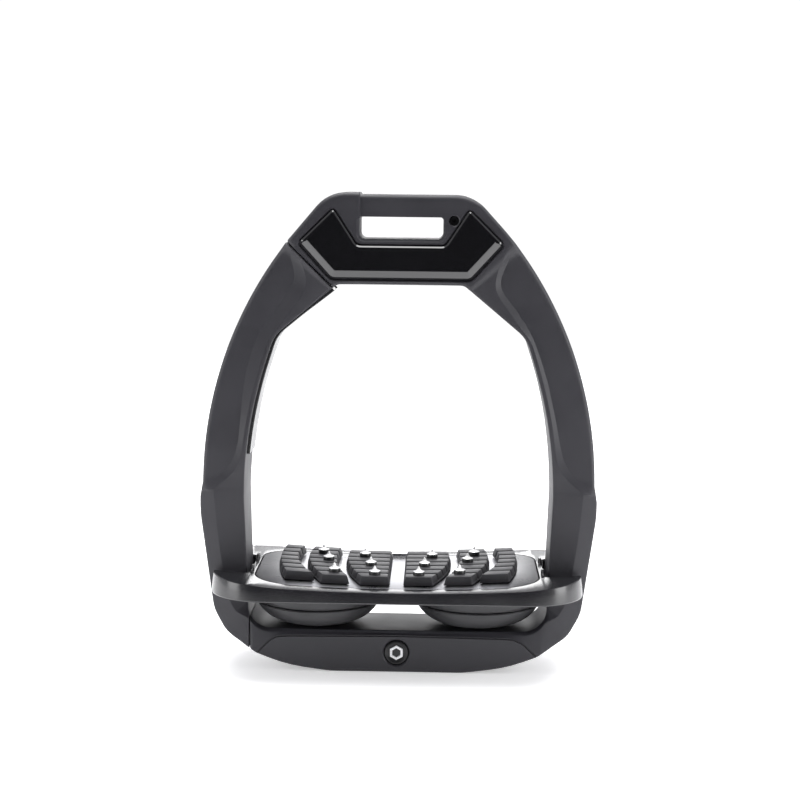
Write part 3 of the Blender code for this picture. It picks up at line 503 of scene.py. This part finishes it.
# bolt counterbores under the base, and the cap's recess in its front
damper_x = (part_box("damper_bolt_right")[0].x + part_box("damper_bolt_right")[1].x) / 2 / MM
for side in (-1, 1):
    cutters.append(turned([(0, -2), (4.7, -2), (4.7, 9.5), (2.8, 9.5), (2.8, 20), (0, 20)], (side * damper_x, 0, 0)))
cap_z = (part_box("base_cap")[0].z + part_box("base_cap")[1].z) / 2 / MM
cap_at = (0, -BASE_HALF, cap_z)
cutters.append(turned([(0, -2.5), (5.0, -2.5), (5.0, -0.5), (5.5, 0), (5.5, 2), (0, 2)], cap_at, (0, -1, 0)))
# engraved panel line round the front of the base
GROOVE = 0.7
line = [(-54.2, 7.3), (-49.2, 12.4), (-46.4, 13.8), (-42, 14.1), (0, 14.6), (42, 14.1), (45.4, 13.8), (49.0, 12.2),
        (54.2, 7.3)]
for way in (-1, 1):
    low, high = sorted((way * (BASE_HALF - GROOVE), way * 18))
    cutters.append(groove(line, GROOVE, low, high))


def grain_group():
    """Surface character for any finish: colour, roughness and height from fine and broad noise."""
    group = bpy.data.node_groups.new("surface_grain", 'ShaderNodeTree')
    sockets = (("Light", 'NodeSocketColor'), ("Dark", 'NodeSocketColor'), ("Grain", 'NodeSocketFloat'),
               ("Broad", 'NodeSocketFloat'), ("Smooth", 'NodeSocketFloat'), ("Rough", 'NodeSocketFloat'),
               ("Stretch", 'NodeSocketVector'))
    for name, kind in sockets:
        group.interface.new_socket(name, in_out='INPUT', socket_type=kind)
    made = (("Colour", 'NodeSocketColor'), ("Roughness", 'NodeSocketFloat'), ("Height", 'NodeSocketFloat'))
    for name, kind in made:
        group.interface.new_socket(name, in_out='OUTPUT', socket_type=kind)
    nodes, link = group.nodes, group.links.new
    source, sink = nodes.new('NodeGroupInput'), nodes.new('NodeGroupOutput')
    place = nodes.new('ShaderNodeTexCoord')
    mapping = nodes.new('ShaderNodeMapping')
    link(place.outputs["Object"], mapping.inputs["Vector"])
    link(source.outputs["Stretch"], mapping.inputs["Scale"])
    fine, broad = nodes.new('ShaderNodeTexNoise'), nodes.new('ShaderNodeTexNoise')
    for noise, scale, detail in ((fine, "Grain", 4.0), (broad, "Broad", 5.0)):
        link(mapping.outputs["Vector"], noise.inputs["Vector"])
        link(source.outputs[scale], noise.inputs["Scale"])
        noise.inputs["Detail"].default_value = detail
    both = nodes.new('ShaderNodeMath')
    both.operation = 'MULTIPLY_ADD'
    link(fine.outputs["Fac"], both.inputs[0])
    both.inputs[1].default_value = 0.45
    link(broad.outputs["Fac"], both.inputs[2])
    spread = nodes.new('ShaderNodeMapRange')
    spread.inputs["From Min"].default_value = 0.45
    spread.inputs["From Max"].default_value = 1.0
    link(both.outputs[0], spread.inputs["Value"])
    mix = nodes.new('ShaderNodeMix')
    mix.data_type = 'RGBA'
    link(spread.outputs["Result"], mix.inputs["Factor"])
    link(source.outputs["Dark"], mix.inputs["A"])
    link(source.outputs["Light"], mix.inputs["B"])
    rough = nodes.new('ShaderNodeMapRange')
    link(spread.outputs["Result"], rough.inputs["Value"])
    link(source.outputs["Smooth"], rough.inputs["To Min"])
    link(source.outputs["Rough"], rough.inputs["To Max"])
    link(mix.outputs["Result"], sink.inputs["Colour"])
    link(rough.outputs["Result"], sink.inputs["Roughness"])
    link(fine.outputs["Fac"], sink.inputs["Height"])
    return group


SURFACE_GRAIN = grain_group()


def finish(name, light, dark, smooth, rough, grain, broad, relief,
           stretch=(1, 1, 1), metallic=0.0, coat=0.0, specular=0.5):
    """A material from the shared grain group, with the shader's own sockets for whatever is the same all over."""
    material = bpy.data.materials.new(name)
    material.use_nodes = True
    nodes, link = material.node_tree.nodes, material.node_tree.links.new
    shader = nodes["Principled BSDF"]
    shader.inputs["Metallic"].default_value = metallic
    shader.inputs["Coat Weight"].default_value = coat
    shader.inputs["Coat Roughness"].default_value = 0.03
    shader.inputs["Specular IOR Level"].default_value = specular
    effect = nodes.new('ShaderNodeGroup')
    effect.node_tree = SURFACE_GRAIN
    for socket, value in (("Light", (*light, 1)), ("Dark", (*dark, 1)), ("Grain", grain), ("Broad", broad),
                          ("Smooth", smooth), ("Rough", rough), ("Stretch", stretch)):
        effect.inputs[socket].default_value = value
    bump = nodes.new('ShaderNodeBump')
    bump.inputs["Strength"].default_value = relief
    bump.inputs["Distance"].default_value = 0.05 * MM
    link(effect.outputs["Height"], bump.inputs["Height"])
    link(effect.outputs["Colour"], shader.inputs["Base Color"])
    link(effect.outputs["Roughness"], shader.inputs["Roughness"])
    link(bump.outputs["Normal"], shader.inputs["Normal"])
    return material


COMPOSITE = finish("charcoal_composite", (0.027, 0.0262, 0.0325), (0.019, 0.0183, 0.0235), 0.46, 0.58, 2600, 60, 0.4)
body_shape = cut(body_shape, cutters)
main_frame = finished("frame_moulding", body_shape, "frame", ["main_frame"])
main_frame.data.materials.append(COMPOSITE)


# ---- Release arm ------------------------------------------------------------------------------
# The left arm is its own moulding in the same composite. It turns outwards on a pin at the foot of
# the base and is held shut at the top seam by a magnet. Its knuckle on the pin is not modelled here.

arm_places = [-q for q in run_of((1, 0), (2, 30), (2.36, 26), (2.6, 40), (2.98, 36), (SEAM_Q, 30))]
arm_shape = ring_piece(arm_places, -LOW_SEAM, TOP_SEAM)
magnet = (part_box("latch_magnet")[0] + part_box("latch_magnet")[1]) / 2 / MM
arm_shape = cut(arm_shape, [turned(LATCH_POCKET, magnet, -seam_out, 40)])
release_arm = finished("release_arm_moulding", arm_shape, "opening_arm", ["release_arm"])
release_arm.data.materials.append(COMPOSITE)


# ---- Inlays -----------------------------------------------------------------------------------
# A polished black acrylic badge plate sits in a pocket on each face of the housing, proud of it.
# Its upper edges are crisp and its lower edges carry a broad polished chamfer. It is glued in.


def inlay_ring(grow, low_edge, y, fall):
    """One level of the inlay: its lower edges move out by low_edge and back towards the housing by fall."""
    ring = []
    for plain, lifted in zip(inlay_line(grow, 0), inlay_line(grow, 1)):
        lower = (lifted - plain).length
        p = plain + (lifted - plain) * low_edge
        ring.append(Vector((p.x, y + (fall * lower if y < 0 else -fall * lower), p.y)) * MM)
    return ring


PIANO_BLACK = finish("piano_black_acrylic", (0.0055, 0.0055, 0.0065), (0.0035, 0.0035, 0.0045),
                     0.03, 0.06, 900, 40, 0.01, coat=1.0)
for name, way in (("inlay_front", -1), ("inlay_rear", 1)):
    levels = ((0, 0, 11.0, 0), (0, 0, 12.75, 0.75), (-0.12, -0.1, 12.9, 0.8), (-0.66, -1.5, 13.36, 0.05),
              (-0.8, -1.75, 13.4, 0))
    bm = lofted([inlay_ring(g, low, way * y, fall) for g, low, y, fall in levels])
    plate = finished(name + "_plate", bm, "frame", [name], 6)
    plate.data.materials.append(PIANO_BLACK)


# ---- Eye screw, latch and base cap --------------------------------------------------------------
# A blackened grub screw sits deep in the housing, a magnet and a steel keeper face each other in the
# top seam on countersunk screws, and a moulded cap with a plain hex socket closes the base's front.

BLACK_STEEL = finish("blackened_steel", (0.03, 0.03, 0.032), (0.015, 0.015, 0.016),
                     0.3, 0.45, 1800, 120, 0.2, metallic=1.0)
BRIGHT_STEEL = finish("bright_steel", (0.78, 0.78, 0.79), (0.62, 0.62, 0.64), 0.2, 0.34, 1500, 150, 0.15,
                      stretch=(1, 1, 6), metallic=1.0)
MAGNET_PLATE = finish("nickel_plate", (0.70, 0.68, 0.64), (0.58, 0.56, 0.53),
                      0.12, 0.24, 2200, 90, 0.1, metallic=1.0)


def refinished(node, material):
    """Gives a CAD node its material."""
    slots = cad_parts[node].data.materials
    slots.clear()
    slots.append(material)


refinished("eye_screw", BLACK_STEEL)
for node in ("latch_magnet", "latch_keeper"):
    refinished(node, MAGNET_PLATE)
for node in ("arm_latch_screw", "housing_latch_screw"):
    refinished(node, BRIGHT_STEEL)

CAP_PLASTIC = finish("cap_plastic", (0.012, 0.012, 0.013), (0.008, 0.008, 0.009), 0.3, 0.42, 2400, 90, 0.25)
SOCKET_SILVER = finish("socket_silver", (0.92, 0.92, 0.93), (0.84, 0.84, 0.86),
                       0.3, 0.45, 1800, 150, 0.15, metallic=0.35)
cap_shape = turned([(0, -2.2), (4.7, -2.2), (4.7, -0.7), (4.5, -0.3), (4.0, -0.15), (3.4, -0.35), (3.0, -0.55),
                    (0, -0.6)], cap_at, (0, -1, 0), 64)
cap = finished("base_cap_disc", cap_shape, "frame", ["base_cap"])
cap.data.materials.append(CAP_PLASTIC)


def hexagon(radius):
    return [(radius * math.cos(math.radians(60 * k + 30)), cap_z + radius * math.sin(math.radians(60 * k + 30)))
            for k in range(6)]


socket = lofted([upright(hexagon(radius), y) for radius, y in
                 ((2.9, -14.7), (2.9, -15.3), (2.8, -15.42), (1.95, -15.42), (1.85, -15.3), (1.8, -14.95))])
for face in socket.faces:               # the socket's floor is dark
    face.material_index = 1 if face.calc_area() > 6 * MM * MM and face.calc_center_median().y > -15.1 * MM else 0
hex_socket = finished("cap_hex_socket", socket, "frame", [], 20)
hex_socket.data.materials.append(SOCKET_SILVER)
hex_socket.data.materials.append(CAP_PLASTIC)


# ---- Liner ------------------------------------------------------------------------------------
# A thin glossy wear strip is stuck to the inner face of the release arm, from its top end down.

LINER_PLASTIC = finish("liner_plastic", (0.016, 0.016, 0.018), (0.010, 0.010, 0.011), 0.22, 0.34, 1400, 60, 0.2)
liner_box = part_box("arm_liner")
liner_half, liner_low = liner_box[1].y / MM, liner_box[0].z / MM
LINER_THICK = 1.2


def liner_section(q, shift=0.0):
    """The strip's section on a cutting line, with its two free edges chamfered."""
    origin, way = station(q, shift)
    near = hit(INSIDE, origin, way)
    corners = [(near - 0.05, liner_half), (near - LINER_THICK + 0.3, liner_half),
               (near - LINER_THICK, liner_half - 0.35)]
    corners += [(u, -y) for u, y in reversed(corners)]
    return [Vector((origin.x + way.x * u, y, origin.y + way.y * u)) * MM for u, y in corners]


ARM_FOOT, ARM_RISE = 30, 108.7          # the upright arm's cutting lines start here and rise this far
low_q = 2 + (liner_low - ARM_FOOT) / ARM_RISE
liner_places = [-q for q in run_of((low_q, 0), (2.98, 30), (SEAM_Q, 30))]
sections = [liner_section(q) for q in liner_places[:-1]] + [liner_section(liner_places[-1], 0.9)]
liner = finished("arm_liner_strip", lofted(sections), "opening_arm", ["arm_liner"])
liner.data.materials.append(LINER_PLASTIC)


# ---- Hinge ------------------------------------------------------------------------------------
# A steel pin runs through the base's fork and the arm's knuckle in two bronze-grey bushes, and a
# torsion spring on each side of the knuckle brings the arm home.

BUSH_ALLOY = finish("bush_alloy", (0.35, 0.33, 0.30), (0.25, 0.24, 0.22), 0.3, 0.42, 1500, 100, 0.2, metallic=1.0)
for node in ("hinge_pin", "return_spring_front", "return_spring_rear"):
    refinished(node, BRIGHT_STEEL)
for node in ("hinge_bush_front", "hinge_bush_rear"):
    refinished(node, BUSH_ALLOY)


# ---- Dampers ----------------------------------------------------------------------------------
# Under each end of the tread an elastomer bowl stands on the base and carries a hard cup, with a
# fine seam between them. A bolt from under the base holds each pair to the tray.

ELASTOMER = finish("elastomer", (0.038, 0.038, 0.041), (0.026, 0.026, 0.028), 0.34, 0.48, 2400, 70, 0.4)
CUP_PLASTIC = finish("cup_plastic", (0.030, 0.030, 0.033), (0.020, 0.020, 0.022), 0.32, 0.44, 2400, 70, 0.3)
BOLT_HOLE = 2.9
BOWL_FULLER = 1.9
BOWL_FOOT = 8.5
for side, word in ((-1, "left"), (1, "right")):
    low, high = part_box("damper_" + word)
    foot, rim = low.z / MM, high.z / MM
    bowl_r = (high.x - low.x) / 2 / MM + BOWL_FULLER
    bowl = [(BOLT_HOLE, foot), (6.0, foot), (BOWL_FOOT, foot + 0.1)]
    for k in range(1, 13):
        t = k / 12
        bowl.append((BOWL_FOOT * (1 - t) ** 2 + 2 * 20.4 * t * (1 - t) + bowl_r * t * t,
                     (foot + 0.1) * (1 - t) ** 2 + 2 * (foot + 0.8) * t * (1 - t) + (rim - 0.5) * t * t))
    bowl += [(bowl_r - 0.2, rim - 0.1), (bowl_r - 0.6, rim), (BOLT_HOLE, rim)]
    damper = finished("damper_bowl_" + word, turned(bowl, (side * damper_x, 0, 0), steps=96), "frame",
                      ["damper_" + word], 40)
    damper.data.materials.append(ELASTOMER)
    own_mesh(damper)
    low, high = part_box("damper_cup_" + word)
    cup_r, cup_low, cup_high = (high.x - low.x) / 2 / MM + BOWL_FULLER, low.z / MM, high.z / MM
    cup = [(BOLT_HOLE, cup_low), (bowl_r - 0.5, cup_low), (bowl_r + 0.1, cup_low + 0.2),
           (bowl_r + 0.75, cup_low + 1.4), (bowl_r + 1.3, cup_low + 2.8), (cup_r - 0.35, cup_low + 4.2),
           (cup_r, cup_high - 0.4), (cup_r - 0.2, cup_high), (BOLT_HOLE, cup_high)]
    cup_piece = finished("damper_cup_" + word + "_shell", turned(cup, (side * damper_x, 0, 0), steps=96), "tread",
                         ["damper_cup_" + word], 50)
    cup_piece.data.materials.append(CUP_PLASTIC)
    refinished("damper_bolt_" + word, BLACK_STEEL)
    refinished("bolt_washer_" + word, BRIGHT_STEEL)


# ---- Tread tray and insert --------------------------------------------------------------------
# A black anodised alloy tray, dished towards its ends and notched round the arms, holds a satin
# plate in its pocket. Four small screws from below and a spring clip at the back keep the plate in.

tray_low, tray_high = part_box("tread_tray")
TREAD_HALF = tray_high.x / MM
TREAD_DEEP = tray_high.y / MM
TRAY_LOW = tray_low.z / MM
DISH = 3.4
TRAY_TOP = tray_high.z / MM - DISH
TREAD_R = 22.0
RIM_END, RIM_SIDE = 16.9, 8.0
INSERT_R = 15.0
NOTCH_X, NOTCH_Y = HALF_IN - FOOT_IN - 0.65, BASE_HALF + 1.3


def oblong(half_x, half_y, radius, z, step=3.0, x=0.0):
    """A rounded rectangle about (x, 0) as points at a height, all in millimetres."""
    outline = rounded([(x - half_x, -half_y, radius), (x + half_x, -half_y, radius), (x + half_x, half_y, radius),
                       (x - half_x, half_y, radius)], step)
    return [Vector((p[0], p[1], z)) * MM for p in outline]


def dished(bm, slices=28):
    """Lifts whatever is above the tray's underside towards the tread's ends, on an even curve."""
    for k in range(1 - slices, slices):
        geometry = bm.verts[:] + bm.edges[:] + bm.faces[:]
        bmesh.ops.bisect_plane(bm, geom=geometry, plane_co=(TREAD_HALF * MM * k / slices, 0, 0), plane_no=(1, 0, 0),
                               dist=0.002 * MM)
    for v in bm.verts:
        share = min(max((v.co.z / MM - TRAY_LOW) / (TRAY_TOP - TRAY_LOW), 0), 1)
        v.co.z += DISH * MM * (v.co.x / MM / TREAD_HALF) ** 2 * (0 if share < 0.2 else share)
    return bm


def edge_rolled(bm, width, segments, angle):
    """Rounds every edge sharper than an angle."""
    bmesh.ops.remove_doubles(bm, verts=bm.verts, dist=0.004 * MM)
    bmesh.ops.dissolve_limit(bm, angle_limit=math.radians(0.5), verts=bm.verts, edges=bm.edges)
    sharp = [e for e in bm.edges if e.is_manifold and e.calc_face_angle(0) > math.radians(angle)]
    bmesh.ops.bevel(bm, geom=sharp, offset=width * MM, offset_type='OFFSET', affect='EDGES',
                    segments=segments, profile=0.5, material=-1, clamp_overlap=True)
    return bm


GRIP_HALF, GRIP_SIDE = TREAD_HALF - RIM_END, TREAD_DEEP - RIM_SIDE
tray = lofted([oblong(TREAD_HALF - inset, TREAD_DEEP - inset, TREAD_R - inset, z) for inset, z in
               ((0.6, TRAY_LOW), (0.18, TRAY_LOW + 0.15), (0.0, TRAY_LOW + 0.55), (0.3, TRAY_LOW + 2.4),
                (0.62, TRAY_TOP - 0.45), (0.75, TRAY_TOP - 0.12), (1.1, TRAY_TOP))])
pocket = lofted([oblong(GRIP_HALF + grow, GRIP_SIDE + grow, INSERT_R + grow, z) for grow, z in
                 ((0.3, TRAY_LOW + 1.6), (0.3, TRAY_TOP - 0.3), (0.55, TRAY_TOP), (0.55, TRAY_TOP + 2))])
trimmers = [pocket]
for side in (-1, 1):
    reach = TREAD_HALF - NOTCH_X + 3
    middle_x = side * (TREAD_HALF + 3)
    trimmers.append(lofted([oblong(reach + grow, NOTCH_Y + grow, 2 + grow, z, 12, middle_x) for grow, z in
                            ((0, TRAY_LOW - 2), (0, TRAY_TOP - 0.4), (0.4, TRAY_TOP), (0.4, TRAY_TOP + 9))]))
    trimmers.append(turned([(0, -2), (2.8, -2), (2.8, TRAY_LOW + 1.1), (0, TRAY_LOW + 1.1)], (side * damper_x, 0, 0)))
tray = dished(cut(tray, trimmers))
# a small raised lip at the inner corners of each notch keeps the plate's edge off the arm
lips = []
for side in (-1, 1):
    for end in (-1, 1):
        sections = []
        x = NOTCH_X - 0.15
        for y, rise, wide in ((-14.8, 0.3, 0.9), (-13.6, 1.7, 1.2), (-11.5, 2.3, 1.3), (-9.4, 2.1, 1.3),
                              (-7.4, 0.3, 0.9)):
            top = TRAY_TOP + 2.0 + rise
            ring = [(x - wide, TRAY_TOP - 1.5), (x, TRAY_TOP - 1.5), (x, top - 0.4), (x - 0.4, top),
                    (x - wide + 0.3, top), (x - wide, top - 0.5)]
            sections.append([Vector((side * u, end * y, z)) * MM for u, z in ring])
        lips.append(lofted(sections))
ANODISED = finish("black_anodised_alloy", (0.016, 0.016, 0.018), (0.010, 0.010, 0.012),
                  0.17, 0.27, 2800, 50, 0.25, specular=0.8)
tread_tray = finished("tread_tray_rim", tray, "tread", ["tread_tray"], 28)
tread_tray.data.materials.append(ANODISED)
for number, lip in enumerate(lips, 1):
    lip_piece = finished(f"notch_lip_{number}", lip, "tread", [], 35)
    lip_piece.data.materials.append(ANODISED)

insert = lofted([oblong(GRIP_HALF - inset, GRIP_SIDE - inset, INSERT_R - inset, z) for inset, z in
                 ((0, TRAY_LOW + 1.9), (0, TRAY_TOP - 0.25), (0.08, TRAY_TOP - 0.07), (0.3, TRAY_TOP))])
SATIN_PLATE = finish("satin_plate", (0.36, 0.36, 0.38), (0.26, 0.26, 0.275),
                     0.24, 0.36, 3600, 90, 0.6, metallic=1.0)
# painted shade: the plate's colour is multiplied darker towards both ends, where its reflection of the lights falls
# away
nodes, link = SATIN_PLATE.node_tree.nodes, SATIN_PLATE.node_tree.links.new
plate_at, plate_xyz = nodes.new('ShaderNodeTexCoord'), nodes.new('ShaderNodeSeparateXYZ')
across, end_shade_mask = nodes.new('ShaderNodeMath'), nodes.new('ShaderNodeMapRange')
across.operation = 'ABSOLUTE'
end_shade_mask.interpolation_type = 'SMOOTHSTEP'
end_shade_mask.inputs["From Min"].default_value, end_shade_mask.inputs["From Max"].default_value = 36 * MM, 47 * MM
# painted shade towards both ends of the plate: its colour is multiplied by a dark grey there
painted_end_shade = nodes.new('ShaderNodeMix')
painted_end_shade.data_type, painted_end_shade.blend_type = 'RGBA', 'MULTIPLY'
painted_end_shade.inputs["B"].default_value = (0.14, 0.14, 0.15, 1)
link(plate_at.outputs["Object"], plate_xyz.inputs[0])
link(plate_xyz.outputs["X"], across.inputs[0])
link(across.outputs[0], end_shade_mask.inputs["Value"])
link(end_shade_mask.outputs["Result"], painted_end_shade.inputs["Factor"])
link(next(n for n in nodes if n.type == 'GROUP').outputs["Colour"], painted_end_shade.inputs["A"])
link(painted_end_shade.outputs["Result"], nodes["Principled BSDF"].inputs["Base Color"])
tread_plate = finished("tread_plate", dished(insert), "tread", ["grip_insert"], 28)
tread_plate.data.materials.append(SATIN_PLATE)
refinished("insert_clip", BRIGHT_STEEL)
for number in range(1, 5):
    refinished(f"insert_screw_{number}", BLACK_STEEL)


# ---- Grip pads --------------------------------------------------------------------------------
# Six moulded rubber pads lie on the plate, three each side with curved sides. Each has seven ribs
# across it on a thin skin; the pads are bonded down.

PLATE_TOP = TRAY_TOP + 0.3
PAD_BULGE = 0.355 * GRIP_SIDE
RIBS, RIB_GAP, PAD_RISE, PAD_SKIN = 7, 1.5, 3.4, 0.9
# Each pad: inner and outer side at their furthest, how strongly each curves in, and both ends.
PAD_SHAPES = ((0.048, 0.383, 0.0, 4.9, -0.87, 0.694), (0.440, 0.665, 4.3, 5.3, -0.855, 0.806),
              (0.722, 0.868, 6.6, 3.7, -0.76, 0.823))
RUBBER = finish("grip_rubber", (0.034, 0.033, 0.038), (0.022, 0.022, 0.025), 0.44, 0.60, 2600, 90, 0.7)


def merged(shapes):
    """Joins overlapping solids into one with an exact Boolean."""
    made = []
    for shape in shapes:
        mesh = bpy.data.meshes.new("solid")
        shape.to_mesh(mesh)
        shape.free()
        made.append(bpy.data.objects.new("solid", mesh))
        bpy.context.scene.collection.objects.link(made[-1])
    for guide in made[1:]:
        modifier = made[0].modifiers.new("join", 'BOOLEAN')
        modifier.operation, modifier.solver, modifier.object = 'UNION', 'EXACT', guide
    bpy.context.view_layer.update()
    out = bmesh.new()
    out.from_object(made[0], bpy.context.evaluated_depsgraph_get())
    for obj in made:
        bpy.data.objects.remove(obj)
    return out


def pad_sides(side, shape, y):
    """Where a pad's inner and outer side lie at a Y value."""
    inner, outer, inner_bend, outer_bend = shape[:4]
    away = (y - PAD_BULGE) ** 2 / 1000
    return (side * (inner * GRIP_HALF - inner_bend * away), side * (outer * GRIP_HALF - outer_bend * away))


def rib(side, shape, start, end):
    """One rib: a block with sloping sides and rolled edges, its ends on the pad's curved sides."""
    rows = []
    for z, in_y, in_x in ((PLATE_TOP + 0.4, -0.1, 0.0), (PLATE_TOP + PAD_RISE, 0.28, 0.75)):
        ring = []
        for y, turn in ((start + in_y, 0), (end - in_y, 1)):
            a, b = pad_sides(side, shape, y)
            pair = [(a + side * in_x, y), (b - side * in_x, y)]
            ring += pair[::-1] if turn else pair
        rows.append([Vector((x, y, z)) * MM for x, y in ring])
    return edge_rolled(lofted(rows), 0.28, 2, 30)


def make_pad(name, side, shape, node):
    """A pad: its skin and its ribs joined, then lifted with the plate's dish."""
    low, high = shape[4] * GRIP_SIDE, shape[5] * GRIP_SIDE
    rows = [low + (high - low) * k / 20 for k in range(21)]
    skin_line = [(pad_sides(side, shape, y)[0], y) for y in rows]
    skin_line += [(pad_sides(side, shape, y)[1], y) for y in rows[::-1]]
    shapes = [edge_rolled(slab(skin_line, PLATE_TOP, PLATE_TOP + PAD_SKIN, True), 0.2, 1, 50)]
    pitch = (high - low + RIB_GAP) / RIBS
    for k in range(RIBS):
        start = low + k * pitch
        shapes.append(rib(side, shape, start + 0.05, start + pitch - RIB_GAP * 0.62))
    bm = merged(shapes)
    for v in bm.verts:
        v.co.z += DISH * MM * (v.co.x / MM / TREAD_HALF) ** 2
    pad = finished(name, bm, "tread", [node], 25)
    pad.data.materials.append(RUBBER)


for number, (side, row) in enumerate(((-1, 2), (-1, 1), (-1, 0), (1, 0), (1, 1), (1, 2)), 1):
    make_pad(f"rubber_pad_{number}", side, PAD_SHAPES[row], f"grip_pad_{number}")


# ---- Studs ------------------------------------------------------------------------------------
# Twelve bright steel studs are pressed into the four wider pads: a flared point on a disc, with a
# black collar under it.

STUD_RISE = 3.4
STUD_METAL = finish("stud_metal", (0.95, 0.95, 0.94), (0.86, 0.86, 0.87), 0.25, 0.4, 2000, 200, 0.2, metallic=0.75)
STUD_COLLAR = finish("stud_collar", (0.012, 0.012, 0.013), (0.008, 0.008, 0.009), 0.35, 0.5, 2000, 200, 0.2)
for number in range(1, 13):
    low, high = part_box(f"stud_{number}")
    middle, radius = (low + high) / 2 / MM, (high.x - low.x) / 2 / MM
    foot, tip = low.z / MM, high.z / MM
    seat = tip - STUD_RISE
    profile = [(0, foot), (0.9, foot), (0.9, seat - 0.3), (radius - 0.3, seat - 0.3), (radius - 0.1, seat - 0.15)]
    profile += [(radius - inset, seat + rise) for inset, rise in ((0.1, 1.2), (0.15, 1.28), (0.15, 1.42), (0.35, 1.54))]
    profile += [(1.5, seat + 1.68), (1.0, seat + 1.98), (0.62, seat + 2.4), (0.34, seat + 3.05), (0.16, tip - 0.06),
                (0, tip)]
    bm = turned(profile, (middle.x, middle.y, 0), steps=28)
    for face in bm.faces:
        face.material_index = 1 if face.calc_center_median().z / MM < seat + 1.25 else 0
    stud = finished(f"stud_point_{number}", bm, "tread", [f"stud_{number}"], 40)
    stud.data.materials.append(STUD_METAL)
    stud.data.materials.append(STUD_COLLAR)


# ---- Studio -----------------------------------------------------------------------------------
# Plain white floor and backdrop, soft light from above and both sides, and the camera in front,
# a little above the tread and looking slightly down.

floor_mesh = bpy.data.meshes.new("studio_floor")
bm = bmesh.new()
bmesh.ops.create_grid(bm, x_segments=1, y_segments=1, size=0.9)
bmesh.ops.translate(bm, verts=bm.verts, vec=(0, 0.4, 0))
bm.to_mesh(floor_mesh)
bm.free()
floor = bpy.data.objects.new("studio_floor", floor_mesh)
bpy.context.scene.collection.objects.link(floor)
floor_material = bpy.data.materials.new("studio_white")
floor_material.use_nodes = True
surface = floor_material.node_tree.nodes["Principled BSDF"]
surface.inputs["Base Color"].default_value = (0.93, 0.93, 0.94, 1)
surface.inputs["Roughness"].default_value = 0.9
surface.inputs["Emission Color"].default_value = (1, 1, 1, 1)
surface.inputs["Emission Strength"].default_value = 0.40
floor_mesh.materials.append(floor_material)

# dark in front and bright behind for the reflections, plain white where the camera looks past the floor
world = bpy.data.worlds.new("studio_air")
world.use_nodes = True
bpy.context.scene.world = world
nodes, link = world.node_tree.nodes, world.node_tree.links.new
sky, backdrop = nodes["Background"], nodes.new('ShaderNodeBackground')
aim, split = nodes.new('ShaderNodeTexCoord'), nodes.new('ShaderNodeSeparateXYZ')
shade = nodes.new('ShaderNodeMapRange')
link(aim.outputs["Generated"], split.inputs[0])
link(split.outputs["Y"], shade.inputs["Value"])
shade.inputs["From Min"].default_value, shade.inputs["From Max"].default_value = -0.95, 0.3
shade.inputs["To Min"].default_value, shade.inputs["To Max"].default_value = 0.04, 0.85
link(shade.outputs["Result"], sky.inputs["Strength"])
sky.inputs["Color"].default_value = (0.97, 0.97, 1.0, 1)
backdrop.inputs["Color"].default_value = (1, 1, 1, 1)
backdrop.inputs["Strength"].default_value = 1.05
path, choose = nodes.new('ShaderNodeLightPath'), nodes.new('ShaderNodeMixShader')
link(path.outputs["Is Camera Ray"], choose.inputs[0])
link(sky.outputs[0], choose.inputs[1])
link(backdrop.outputs[0], choose.inputs[2])
link(choose.outputs[0], nodes["World Output"].inputs["Surface"])

LIGHT_AIM = Vector((0, 0, 0.09))
for name, at, size, power in (("overhead_softbox", (0.05, 0.1, 1.1), (1.1, 0.9), 17.0),
                              ("left_softbox", (-1.0, -0.35, 0.35), (0.5, 0.9), 5.0),
                              ("right_softbox", (1.0, -0.3, 0.35), (0.5, 0.9), 7.0),
                              ("rear_softbox", (0, 1.1, 0.36), (0.3, 0.42), 1.3)):
    light = bpy.data.lights.new(name, 'AREA')
    light.shape = 'RECTANGLE'
    light.size, light.size_y = size
    light.energy = power
    lamp = bpy.data.objects.new(name, light)
    lamp.location = at
    lamp.rotation_euler = (LIGHT_AIM - Vector(at)).to_track_quat('-Z', 'Y').to_euler()
    bpy.context.scene.collection.objects.link(lamp)

CAMERA_AWAY, CAMERA_HEIGHT = 0.7, 0.1910
camera_data = bpy.data.cameras.new("camera")
camera_data.lens, camera_data.sensor_width = 81.25, 36.0
camera_data.clip_start = 0.01
camera = bpy.data.objects.new("camera", camera_data)
yaw, tilt, roll = math.radians(1.2), math.radians(7.0), math.radians(0.65)
forward = Vector((-math.sin(yaw) * math.cos(tilt), math.cos(yaw) * math.cos(tilt), -math.sin(tilt)))
right = Vector((math.cos(yaw), math.sin(yaw), 0))
up = right.cross(forward)
level_right = right * math.cos(roll) + up * math.sin(roll)
level_up = up * math.cos(roll) - right * math.sin(roll)
turn = Matrix((level_right, level_up, -forward)).transposed().to_4x4()
camera.matrix_world = Matrix.Translation((CAMERA_AWAY * math.sin(yaw), -CAMERA_AWAY * math.cos(yaw),
                                           CAMERA_HEIGHT)) @ turn
bpy.context.scene.collection.objects.link(camera)
bpy.context.scene.camera = camera
bpy.context.scene.view_settings.view_transform = 'Standard'

bpy.context.view_layer.update()
